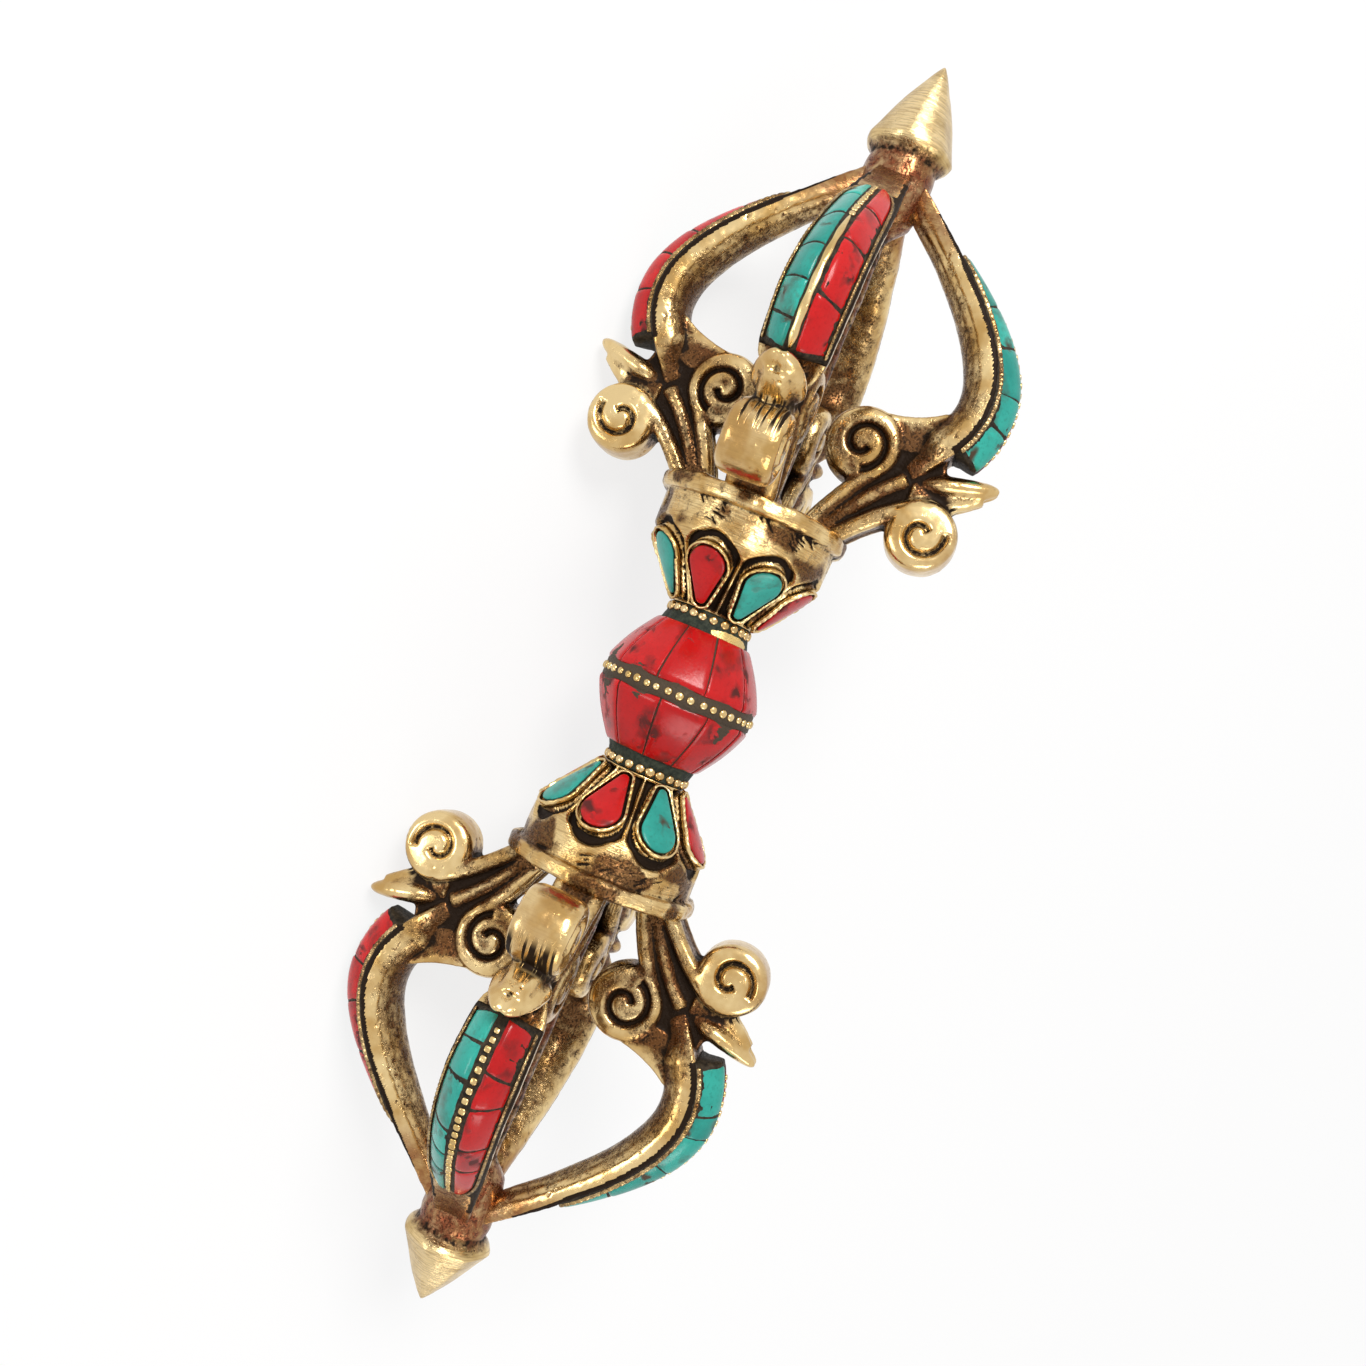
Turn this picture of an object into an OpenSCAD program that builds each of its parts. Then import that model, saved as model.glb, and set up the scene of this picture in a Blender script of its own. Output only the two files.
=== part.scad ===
// Dorje (vajra): a hand-held brass sceptre with coral and turquoise inlay.
// It lies on its side along X. Each end is drawn upright along Z and then laid down.

/* [Lengths along the axis] */
// Half length of the hub bead
hub_half = 8.4; // [7:0.1:11]
// Length of each collar between hub and lotus
collar_h = 2.4; // [2:0.1:4.5]
// Length of each lotus cup, from collar to rim face
lotus_h = 15; // [13:0.1:18]
// Length of each prong cage, from the lotus rim to the foot of the tip
cage_h = 47; // [44:0.1:52]
// Length of the tip on the left end
left_tip_h = 13.7; // [8:0.1:18]
// Length of the tip on the right end
right_tip_h = 10.5; // [8:0.1:18]

/* [Hub bead] */
// Radius of the hub bead beside its equator band
hub_r = 10.4; // [9:0.1:12]
// Radius of the hub bead at its ends
hub_end_r = 6.3; // [5.8:0.1:7.5]
// Swell of the hub bead's cones
hub_swell = 0.4; // [0:0.1:1]
// Thickness of the coral segments
hub_stone = 1.4; // [0.8:0.1:2]
// Coral segments round each cone
hub_segments = 10; // [6:1:14]
// Width of the beaded band at the equator
band_w = 2.2; // [1.4:0.1:3]
// Beads round the band
band_beads = 42; // [24:1:46]
// Radius of the beads on band and collars
bead_r = 0.55; // [0.35:0.05:0.65]

/* [Collars] */
// Radius of the collars
collar_r = 5.5; // [4.6:0.1:6.5]
// Beads round each collar
collar_beads = 24; // [12:1:26]

/* [Lotus cups] */
// Radius of the cup at its neck
lotus_neck_r = 5.3; // [4.8:0.1:6]
// Height of the plain foot below the petals
lotus_foot_h = 0.5; // [0.3:0.1:1]
// Radius of the cup at the top of the petals
lotus_cup_r = 11.3; // [10.4:0.1:11.8]
// Radius of the rim
lotus_rim_r = 12.5; // [12.3:0.1:14]
// Height of the rim
rim_h = 2.3; // [1.8:0.1:3]
// Height of the plain band below the rim
lotus_band_h = 4.4; // [3:0.1:4.6]
// Petals round each cup, coral and turquoise by turns
petals = 8; // [6:2:8]
// Width of a petal at its round end
petal_w = 5.1; // [3.6:0.1:5.4]
// Width of a petal at its narrow end
petal_foot_w = 1.6; // [1:0.1:2]
// Thickness of the petal stones
petal_stone = 0.9; // [0.5:0.1:1.4]
// Width of the bezel wires round the petals
bezel_w = 0.6; // [0.4:0.05:0.8]
// Height of the bezel wires
bezel_h = 1.1; // [0.7:0.1:1.6]

/* [Makara heads] */
// Radius at which the outward scroll is centred
scroll_at = 20.4; // [19:0.1:22]
// Height of the scroll's centre above the lotus rim
scroll_rise = 3.9; // [3:0.1:5]
// Outer radius of the scroll
scroll_radius = 4.45; // [3.8:0.05:4.8]
// Width of the scroll barrel
scroll_w = 6.9; // [6:0.1:8]
// Radius at which the inward volute is centred
volute_at = 9.4; // [9:0.1:10.5]
// Height of the volute's centre above the lotus rim
volute_rise = 12; // [11.4:0.1:13.5]
// Outer radius of the volute
volute_radius = 4.8; // [3.8:0.05:4.9]
// Width of the volute and of the ribs on the stem
rib_span = 6; // [5.4:0.1:6.6]
// Width of each rib, seen from the side
rib_w = 1.6; // [1.2:0.05:1.8]
// Width of the web between the ribs
web_w = 4.6; // [3.6:0.1:5.2]
// Depth of the panel sunk in the stem's front
panel_depth = 0.5; // [0.2:0.1:0.7]
// Width of the rails beside that panel
rail_w = 1.5; // [1:0.1:2]
// Turns of the spiral grooves in the sides of scroll and volute
groove_turns = 1.25; // [1:0.05:1.4]
// Width of the spiral grooves
groove_w = 0.7; // [0.4:0.05:0.9]
// Depth of the spiral grooves
groove_depth = 0.6; // [0.3:0.05:0.8]
// Bevel on the edges of scroll and volute
barrel_bevel = 0.3; // [0.1:0.05:0.35]
// Radius of the stem's foot on its inner side
stem_in = 6.6; // [6.2:0.1:7.2]
// Radius of the stem's foot on its outer side
stem_out = 10.6; // [9.8:0.1:11]
// Radius of the snout's tip
snout_at = 27.7; // [26.5:0.1:29]
// Height of the snout's tip above the lotus rim
snout_rise = 12.9; // [12.2:0.1:13.6]
// Width of the snout
snout_w = 7.2; // [5.6:0.1:7.6]
// Thickness of the snout
snout_thick = 3.4; // [2.6:0.1:3.8]

/* [Spokes] */
// Radius of the cage at its belly, without the inlay
belly_r = 22.1; // [21:0.1:23.5]
// Height of a spoke's root above the lotus rim
spoke_root_rise = 10.4; // [9.6:0.1:11.2]
// Distance of a spoke's foot below the tip
spoke_foot_drop = 2.8; // [2.4:0.1:3.4]
// Width of a spoke where it leaves the head
spoke_root_w = 7.4; // [6.4:0.1:8.2]
// Width of a spoke at its belly
spoke_belly_w = 8.5; // [7.4:0.1:9.5]
// Width of a spoke at its foot
spoke_foot_w = 4.6; // [4:0.1:5.4]
// Depth of the brass at a spoke's root
spoke_root_depth = 4.6; // [4:0.1:5.4]
// Depth of the brass at a spoke's foot
spoke_foot_depth = 2.8; // [2.4:0.1:3.4]

/* [Inlay] */
// Place along the spoke where the inlay starts
inlay_start_share = 0.17; // [0.17:0.01:0.25]
// Place along the spoke where the inlay ends
inlay_end_share = 0.84; // [0.74:0.01:0.88]
// Chips in each row
chips = 6; // [4:1:8]
// Thickness of the chips beside the ridge, as a share of the ridge's height
chip_share = 0.34; // [0.2:0.02:0.44]
// Thickness of the chips beside the edge wires
chip_edge = 0.5; // [0.3:0.05:0.7]
// Height of the cement ridge between the rows, where it is highest
crown_h = 3.4; // [2.6:0.1:3.8]
// Height of the cement ridge at its end near the tip
crown_end_h = 1.2; // [0.9:0.1:1.8]
// Width of the cement ridge
crown_w = 1.3; // [1:0.1:1.8]
// Height of the cement at the edge wires
bed_edge = 0.15; // [0.1:0.05:0.3]
// Swell of the chips' faces
chip_swell = 0.4; // [0:0.05:0.5]
// Width of the edge wires
wire_w = 0.6; // [0.4:0.05:0.8]
// Height of the edge wires
wire_h = 0.85; // [0.6:0.05:1.2]
// Spacing of the beads along the ridge
ridge_pitch = 1.25; // [1.1:0.05:1.8]
// Radius of the beads along the ridge
ridge_bead_r = 0.5; // [0.3:0.05:0.5]

/* [Tips and central prongs] */
// Radius of the tip at its widest
tip_r = 6.1; // [5.4:0.1:6.6]
// Height of the tip's lower flare
tip_flare_h = 1.8; // [1:0.1:2.5]
// Radius of the neck that carries the tip
neck_r = 4.9; // [4.7:0.1:5.2]
// Distance of the neck's flats from the axis
neck_flat = 4.3; // [4.1:0.1:4.5]
// Length of the neck
neck_h = 8.6; // [8:0.1:10]
// Radius of the central prong
rod_r = 2.2; // [1.6:0.1:3]

/* [Fits] */
// Radius of the hub's tenons
hub_tenon_r = 3.2; // [2.4:0.1:3.8]
// Radius of the central prongs' tenons
rod_tenon_r = 2.4; // [1.6:0.1:3.2]
// Length of each tenon inside the lotus
tenon_len = 5; // [3:0.1:5.5]
// Clearance round a tenon
fit = 0.08; // [0.04:0.02:0.16]
// Width of the cement seams between stones
seam = 0.3; // [0.15:0.05:0.5]

/* [Hidden] */
$fn = 64;
ENDS = ["left", "right"];
PRONGS = ["top_back", "top_front", "bottom_front", "bottom_back"];
PRONG_TURN = [135, 225, 315, 45];
PRONG_PIECES = ["prong", "bed", "coral", "turquoise", "wires"];
LOTUS_PIECES = ["lotus", "lotus_coral", "lotus_turquoise", "lotus_wires"];
END_PIECES = concat(["collar", "collar_beads"], LOTUS_PIECES, ["central_prong"]);
HUB_PIECES = ["hub_core", "hub_coral", "hub_band_beads"];

brass = [0.79, 0.64, 0.31];
pale_brass = [0.88, 0.74, 0.42];
coral = [0.82, 0.07, 0.08];
turquoise = [0.16, 0.66, 0.60];
cement = [0.17, 0.16, 0.13];

// Heights along the axis, from the hub's equator
lotus_from = hub_half + collar_h;
rim_face = lotus_from + lotus_h;
neck_top = rim_face + cage_h;
hub_x = (left_tip_h - right_tip_h) / 2;

// Helpers for curves in one plane
function lerp(a, b, u) = a + (b - a) * u;
function unit(v) = v / norm(v);
function polar(c, r, angle) = c + r * [cos(angle), sin(angle)];
function quad(p, u) = pow(1 - u, 2) * p[0] + 2 * u * (1 - u) * p[1] + u * u * p[2];
function quad_way(p, u) = unit(lerp(p[1] - p[0], p[2] - p[1], u));
function cubic(p, u) = lerp(quad([p[0], p[1], p[2]], u), quad([p[1], p[2], p[3]], u), u);
function cubic_way(p, u) = unit(quad([p[1] - p[0], p[2] - p[1], p[3] - p[2]], u));
function outward(way) = [way[1], -way[0]];

// A solid skinned over rings of points, each ring with as many points as the others
module loft(rings) {
    sides = len(rings[0]);
    last = len(rings) - 1;
    walls = [for (i = [0:last - 1], j = [0:sides - 1])
        let (k = (j + 1) % sides, a = i * sides, b = a + sides)
        each [[a + j, b + j, b + k], [a + j, b + k, a + k]]];
    first_cap = [for (j = [0:sides - 1]) j];
    last_cap = [for (j = [sides - 1:-1:0]) last * sides + j];
    polyhedron([for (ring = rings) each ring], concat(walls, [first_cap, last_cap]), convexity = 6);
}

// A flat band along a line of points, from one width to another
module band(line, from_w, to_w) {
    last = len(line) - 1;
    way = [for (i = [0:last]) unit(line[min(i + 1, last)] - line[max(i - 1, 0)])];
    half = [for (i = [0:last]) lerp(from_w, to_w, i / last) / 2];
    one_side = [for (i = [0:last]) line[i] + half[i] * outward(way[i])];
    other_side = [for (i = [last:-1:0]) line[i] - half[i] * outward(way[i])];
    polygon(concat(one_side, other_side));
}

// Turns a profile of radius and height into a plate of the given width across the prong
module across(w) {
    rotate([90, 0, 0]) linear_extrude(w, center = true, convexity = 8) children();
}

// The spoke's seat line, in radius and height: its root, two pulls and its foot
ROOT_INSET = 5.5;
BELLY_PULL_OUT = 5.5;
BELLY_PULL_UP = 10.8;
SHOULDER_PULL_IN = 0.7;
SHOULDER_PULL_DOWN = 14.5;
spoke_foot = neck_top - spoke_foot_drop;
spoke_root = [belly_r - ROOT_INSET, rim_face + spoke_root_rise];
spoke = [
    spoke_root,
    [belly_r + BELLY_PULL_OUT, spoke_root[1] + BELLY_PULL_UP],
    [belly_r - SHOULDER_PULL_IN, spoke_foot - SHOULDER_PULL_DOWN],
    [neck_flat, spoke_foot]
];
SPOKE_STEPS = 16;
BELLY_SHARE = 0.5;
belly_ends = pow(1 - BELLY_SHARE, 2) * spoke_root_w + pow(BELLY_SHARE, 2) * spoke_foot_w;
belly_pull = (spoke_belly_w - belly_ends) / (2 * BELLY_SHARE * (1 - BELLY_SHARE));

function spoke_half(u) = quad([spoke_root_w, belly_pull, spoke_foot_w], u) / 2;
function spoke_depth(u) = lerp(spoke_root_depth, spoke_foot_depth, u);
// A point at place u along the spoke, t across it and n outward from its seat line
function on_spoke(u, t, n) =
    let (p = cubic(spoke, u) + n * outward(cubic_way(spoke, u)))
    [p[0], t, p[1]];
spoke_points = [for (i = [0:SPOKE_STEPS]) cubic(spoke, i / SPOKE_STEPS)];
spoke_steps = [for (i = [1:SPOKE_STEPS]) norm(spoke_points[i] - spoke_points[i - 1])];
spoke_len = spoke_steps * [for (step = spoke_steps) 1];

// Half of the brass section, as shares of half width and depth
spoke_section = [[1, 0], [1, -0.3], [0.72, -0.75], [0.28, -1]];
function both_sides(half) = concat(half, [for (i = [len(half) - 1:-1:0]) [-half[i][0], half[i][1]]]);

// The foot is cut flat where it meets the neck
function onto_neck(p, way) = p + (neck_flat - p[0]) / way[0] * [way[0], 0, way[1]];
function spoke_ring(u) = [for (s = both_sides(spoke_section))
    on_spoke(u, s[0] * spoke_half(u), s[1] * spoke_depth(u))];
module spoke_bar() {
    foot = [for (p = spoke_ring(1)) onto_neck(p, cubic_way(spoke, 1))];
    loft(concat([for (i = [0:SPOKE_STEPS - 2]) spoke_ring(i / SPOKE_STEPS)], [foot]));
}

// The head's lines, in radius and height
scroll_c = [scroll_at, rim_face + scroll_rise];
volute_c = [volute_at, rim_face + volute_rise];
SCROLL_START = 125;
VOLUTE_START = -40;
STEM_STEPS = 6;
GROOVE_STEPS = 24;
GROOVE_END_SHARE = 0.25;
// The stems run a little inside the curls they feed
CURL_INSET = 0.15;
curl_sink = rib_w / 2 + CURL_INSET;
scroll_meet = polar(scroll_c, scroll_radius - curl_sink, SCROLL_START);
volute_meet = polar(volute_c, volute_radius - curl_sink, VOLUTE_START);
SNOUT_ROOT_IN = 0.5;
SNOUT_ROOT_DOWN = 0.8;
snout_root = spoke_root - [SNOUT_ROOT_IN, SNOUT_ROOT_DOWN];
// Stems start below the rim and are cut flush with it
STEM_SINK = 1;
SCROLL_REACH = 4.5;
VOLUTE_REACH = 5;
SNOUT_REACH = 6;
SNOUT_WAY = unit([1, 0.8]);

// A stem that rises from the rim and runs into its curl in the direction given
function stem(foot_r, meet, way, reach) =
    let (p = [[foot_r, rim_face - STEM_SINK], meet - reach * way, meet])
    [for (i = [0:STEM_STEPS]) quad(p, i / STEM_STEPS)];
function spiral(c, r, start, turns) = [for (i = [0:GROOVE_STEPS])
    polar(c, r * lerp(1, GROOVE_END_SHARE, i / GROOVE_STEPS), start + turns * 360 * i / GROOVE_STEPS)];
scroll_stem = stem(stem_out - rib_w / 2, scroll_meet, polar([0, 0], 1, SCROLL_START - 90), SCROLL_REACH);
volute_stem = stem(stem_in + rib_w / 2, volute_meet, polar([0, 0], 1, VOLUTE_START + 90), VOLUTE_REACH);
snout_stem = stem((stem_in + stem_out) / 2, snout_root, SNOUT_WAY, SNOUT_REACH);

SNOUT_PULL_OUT = 6;
SNOUT_PULL_UP = 1.2;
snout_pull = snout_root + [SNOUT_PULL_OUT, SNOUT_PULL_UP];
snout_line = [snout_root, snout_pull, [snout_at, rim_face + snout_rise]];

// The web fills the head between the stems, the curls and the spoke's root
WEB_SHARE = 0.12;
SNOUT_SHARE = 0.4;
module web_profile() {
    root = cubic(spoke, WEB_SHARE);
    back = root - spoke_depth(0) * outward(cubic_way(spoke, WEB_SHARE));
    polygon(concat(
        scroll_stem,
        [scroll_c, quad(snout_line, SNOUT_SHARE), root, back, volute_c],
        [for (i = [STEM_STEPS:-1:0]) volute_stem[i]]
    ));
}

// A barrel across the prong, with a spiral groove in each side
module curl(c, r, w, start, turns) {
    groove = spiral(c, r - rib_w, start, turns);
    difference() {
        translate([c[0], 0, c[1]]) rotate([90, 0, 0]) rotate_extrude() polygon([
            [0, -w / 2], [r - barrel_bevel, -w / 2], [r, barrel_bevel - w / 2],
            [r, w / 2 - barrel_bevel], [r - barrel_bevel, w / 2], [0, w / 2]
        ]);
        for (side = [-1, 1]) translate([0, side * w / 2, 0])
            across(2 * groove_depth) band(groove, groove_w, groove_w);
    }
}

// The panel is as deep as half of this band, which follows the stem's front edge
module panel_profile() {
    front = [for (i = [0:STEM_STEPS - 2])
        scroll_stem[i] + rib_w / 2 * outward(unit(scroll_stem[i + 1] - scroll_stem[i]))];
    band(front, 2 * panel_depth, 2 * panel_depth);
}

// The snout is a pointed leaf, skinned over ellipses along its own line
SNOUT_STEPS = 7;
SNOUT_SIDES = 10;
SNOUT_END_SHARE = 0.97;
LEAF_BLUNT = 2.6;
LEAF_ROUND = 0.55;
function leaf(v) = pow(1 - pow(v, LEAF_BLUNT), LEAF_ROUND);
function snout_ring(v) =
    let (c = quad(snout_line, v), o = outward(quad_way(snout_line, v)))
    [for (k = [0:SNOUT_SIDES - 1])
        let (angle = -360 * k / SNOUT_SIDES, n = leaf(v) * snout_thick / 2 * sin(angle))
        [c[0] + n * o[0], leaf(v) * snout_w / 2 * cos(angle), c[1] + n * o[1]]];
snout_rings = [for (i = [0:SNOUT_STEPS]) snout_ring(SNOUT_END_SHARE * i / SNOUT_STEPS)];

// The part rests on whatever stands out most at an eighth of a turn from a prong's own direction
function reach(p) = (p[0] + abs(p[1])) * sin(45);
wire_edges = [for (i = [0:SPOKE_STEPS]) on_spoke(i / SPOKE_STEPS, spoke_half(i / SPOKE_STEPS), wire_h)];
scroll_edge = [scroll_at + scroll_radius - barrel_bevel, scroll_w / 2, 0];
rest_h = max([for (p = concat([for (ring = snout_rings) each ring], wire_edges, [scroll_edge])) reach(p)]);

module prong() {
    color(brass) {
        difference() {
            union() {
                across(web_w) web_profile();
                across(scroll_w - 2 * barrel_bevel) band(scroll_stem, rib_w, rib_w);
                across(rib_span - 2 * barrel_bevel) band(volute_stem, rib_w, rib_w);
                across(rib_span) band(snout_stem, rib_w, rib_w);
            }
            across(scroll_w - 2 * rail_w) panel_profile();
            translate([0, -scroll_w, rim_face - 2 * STEM_SINK])
                cube([lotus_rim_r, 2 * scroll_w, 2 * STEM_SINK]);
        }
        curl(scroll_c, scroll_radius, scroll_w, SCROLL_START, -groove_turns);
        curl(volute_c, volute_radius, rib_span, VOLUTE_START, groove_turns);
        spoke_bar();
        loft(snout_rings);
    }
}

// Half width of the field between the edge wires
function field_half(u) = spoke_half(u) - wire_w;
INLAY_STEPS = 14;
function inlay_place(i) = lerp(inlay_start_share, inlay_end_share, i / INLAY_STEPS);

// The ridge between the rows keeps its height to the belly and then falls toward the tip
CROWN_FALL_SHARE = 0.4;
CROWN_FALL_CURVE = 1.5;
function crown(u) =
    let (fall = max(0, (u - CROWN_FALL_SHARE) / (inlay_end_share - CROWN_FALL_SHARE)))
    lerp(crown_h, crown_end_h, pow(fall, CROWN_FALL_CURVE));
function bed_ring(u) =
    let (f = field_half(u), c = crown_w / 2,
         half = [[c, crown(u)], [c, crown(u) * (1 - chip_share)], [f, bed_edge], [f, 0]])
    [for (s = both_sides(half)) on_spoke(u, s[0], s[1])];

module bed() {
    color(cement) loft([for (i = [0:INLAY_STEPS]) bed_ring(inlay_place(i))]);
}

// Chips are cut by hand, so their joints wander a little
CHIP_WANDER_SHARE = 0.2;
function chip_joint(i, wander) = lerp(inlay_start_share, inlay_end_share,
    (i == 0 || i == chips) ? i / chips : (i + CHIP_WANDER_SHARE * wander[i]) / chips);
function chip_ring(u, side) =
    let (f = field_half(u), c = crown_w / 2,
         mid = [(f + c) / 2, (bed_edge + chip_edge + crown(u)) / 2 + chip_swell * crown(u) / crown_h],
         inner = [[c, crown(u) * (1 - chip_share)], [f, bed_edge]],
         section = concat(inner, [[f, bed_edge + chip_edge], mid, [c, crown(u)]]),
         ring = [for (s = section) on_spoke(u, side * s[0], s[1])])
    side > 0 ? [for (i = [len(ring) - 1:-1:0]) ring[i]] : ring;

module chip_row(side, tint, seed) {
    wander = rands(-1, 1, chips + 1, seed);
    gap = seam / spoke_len / 2;
    color(tint) for (i = [0:chips - 1]) {
        from = chip_joint(i, wander) + gap;
        to = chip_joint(i + 1, wander) - gap;
        loft([for (v = [0:0.5:1]) chip_ring(lerp(from, to, v), side)]);
    }
}

function wire_ring(u, side) =
    let (inner = side * field_half(u), outer = side * spoke_half(u))
    [for (s = [[outer, 0], [inner, 0], [inner, wire_h], [outer, wire_h]]) on_spoke(u, s[0], s[1])];

module ridge_beads() {
    count = floor((inlay_end_share - inlay_start_share) * spoke_len / ridge_pitch);
    for (i = [0:count - 1]) {
        u = lerp(inlay_start_share, inlay_end_share, (i + 0.5) / count);
        way = cubic_way(spoke, u);
        translate(on_spoke(u, 0, crown(u))) rotate([0, atan2(way[1], -way[0]), 0]) dome(ridge_bead_r);
    }
}

module dome(r) {
    difference() {
        sphere(r);
        translate([-2 * r, -2 * r, -4 * r]) cube(4 * r);
    }
}

module wires() {
    color(pale_brass) {
        loft([for (i = [0:INLAY_STEPS]) wire_ring(inlay_place(i), 1)]);
        loft([for (i = [INLAY_STEPS:-1:0]) wire_ring(inlay_place(i), -1)]);
        ridge_beads();
    }
}

// Hub: a brass spool, its coral segments and the beads of its equator
band_r = hub_r - bead_r / 2;
CONE_STEPS = 5;
function cone_face(s) =
    [lerp(hub_r, hub_end_r, s) + hub_swell * sin(180 * s), lerp(band_w / 2, hub_half, s)];

module hub_core() {
    half = [
        [band_r, band_w / 2],
        [hub_r - hub_stone, band_w / 2],
        [hub_end_r - hub_stone, hub_half],
        [hub_tenon_r, hub_half],
        [hub_tenon_r, lotus_from + tenon_len - fit],
        [0, lotus_from + tenon_len - fit]
    ];
    color(brass) rotate_extrude()
        polygon(concat(half, [for (i = [len(half) - 1:-1:0]) [half[i][0], -half[i][1]]]));
}

SEGMENT_TURN = 10;
module hub_coral() {
    profile = concat(
        [for (i = [0:CONE_STEPS]) cone_face(i / CONE_STEPS)],
        [[hub_end_r - hub_stone, hub_half], [hub_r - hub_stone, band_w / 2]]
    );
    gap_angle = seam / hub_r * 180 / PI;
    pitch = 360 / hub_segments;
    color(coral) for (side = [0, 1], i = [0:hub_segments - 1])
        mirror([0, 0, side]) rotate(SEGMENT_TURN + pitch * (i + side / 4))
            rotate_extrude(angle = pitch - gap_angle) polygon(profile);
}

// A ring of half-round beads that sit on a round face
module bead_ring(count, face_r, at) {
    for (i = [0:count - 1])
        rotate(360 * i / count) translate([face_r, 0, at]) rotate([0, 90, 0]) dome(bead_r);
}

module hub_band_beads() {
    color(pale_brass) bead_ring(band_beads, band_r, 0);
}

module collar() {
    color(cement) translate([0, 0, hub_half]) difference() {
        cylinder(r = collar_r, h = collar_h);
        translate([0, 0, -collar_h]) cylinder(r = hub_tenon_r + fit, h = 3 * collar_h);
    }
}

module collar_beads() {
    color(pale_brass) bead_ring(collar_beads, collar_r, lotus_from - 1.5 * bead_r);
}

// Lotus cup: a cone that carries the petals, a plain band and a rounded rim
petal_from = lotus_from + lotus_foot_h;
petal_to = rim_face - rim_h - lotus_band_h;
cone_way = unit([lotus_cup_r - lotus_neck_r, petal_to - petal_from]);
cone_len = norm([lotus_cup_r - lotus_neck_r, petal_to - petal_from]);
RIM_ROUND_SHARE = 0.35;
rim_round = rim_h * RIM_ROUND_SHARE;
RIM_STEPS = 4;
function rim_arc(at, start) = [for (i = [0:RIM_STEPS])
    polar([lotus_rim_r - rim_round, at], rim_round, start + 90 * i / RIM_STEPS)];

module lotus() {
    profile = concat(
        [[0, lotus_from], [lotus_neck_r, lotus_from], [lotus_neck_r, petal_from], [lotus_cup_r, petal_to]],
        [[lotus_cup_r, rim_face - rim_h]],
        rim_arc(rim_face - rim_h + rim_round, -90),
        rim_arc(rim_face - rim_round, 0),
        [[0, rim_face]]
    );
    color(brass) difference() {
        rotate_extrude() polygon(profile);
        translate([0, 0, lotus_from - tenon_len]) cylinder(r = hub_tenon_r + fit, h = 2 * tenon_len);
        translate([0, 0, rim_face - tenon_len]) cylinder(r = rod_tenon_r + fit, h = 2 * tenon_len);
    }
}

// A petal's outline: two round ends joined by tangents, grown by the width given
PETAL_STEPS = 8;
petal_foot_at = petal_foot_w / 2 + bezel_w;
petal_head_at = cone_len - petal_w / 2 - bezel_w;
petal_tilt = asin((petal_w - petal_foot_w) / 2 / (petal_head_at - petal_foot_at));
module petal_outline(grow) {
    head = 90 + petal_tilt;
    polygon(concat(
        [for (i = [0:PETAL_STEPS])
            polar([petal_head_at, 0], petal_w / 2 + grow, lerp(-head, head, i / PETAL_STEPS))],
        [for (i = [0:PETAL_STEPS])
            polar([petal_foot_at, 0], petal_foot_w / 2 + grow, lerp(head, 360 - head, i / PETAL_STEPS))]
    ));
}

// The layer of the given height on the cup's cone
module cone_layer(h) {
    up = h * outward(cone_way);
    a = [lotus_neck_r, petal_from];
    b = [lotus_cup_r, petal_to];
    rotate_extrude() polygon([a, a + up, b + up, b]);
}

PETAL_TURN = 54;
module on_petal(i) {
    rotate(PETAL_TURN + 360 * i / petals)
        translate([lotus_neck_r, 0, petal_from])
        rotate([0, -atan2(cone_way[1], cone_way[0]), 0])
        translate([0, 0, -lotus_rim_r / 2])
        linear_extrude(lotus_rim_r) children();
}

module petal_stones(first, tint) {
    color(tint) for (i = [first:2:petals - 1]) intersection() {
        cone_layer(petal_stone);
        on_petal(i) petal_outline(0);
    }
}

module lotus_wires() {
    color(pale_brass) for (i = [0:petals - 1]) intersection() {
        cone_layer(bezel_h);
        on_petal(i) difference() {
            petal_outline(bezel_w);
            petal_outline(0);
        }
    }
}

// Central prong: a slim rod with its tenon, the neck for the four feet, and the tip
ROD_COLLAR_H = 1.2;
ROD_COLLAR_SHARE = 1.4;
ROD_TAPER_SHARE = 0.85;
NECK_SOCKET_SHARE = 0.9;
TIP_STEPS = 5;
TIP_BLUNT_SHARE = 0.12;
TIP_SWELL = 0.76;
TIP_FOOT_SHARE = 0.82;
// The tip is cast in one with a plug inside the neck
TIP_PLUG_SHARE = 0.5;
function tip_face(s, tip_h) = [tip_r * pow(1 - s, TIP_SWELL), neck_top + lerp(tip_flare_h, tip_h, s)];

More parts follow.
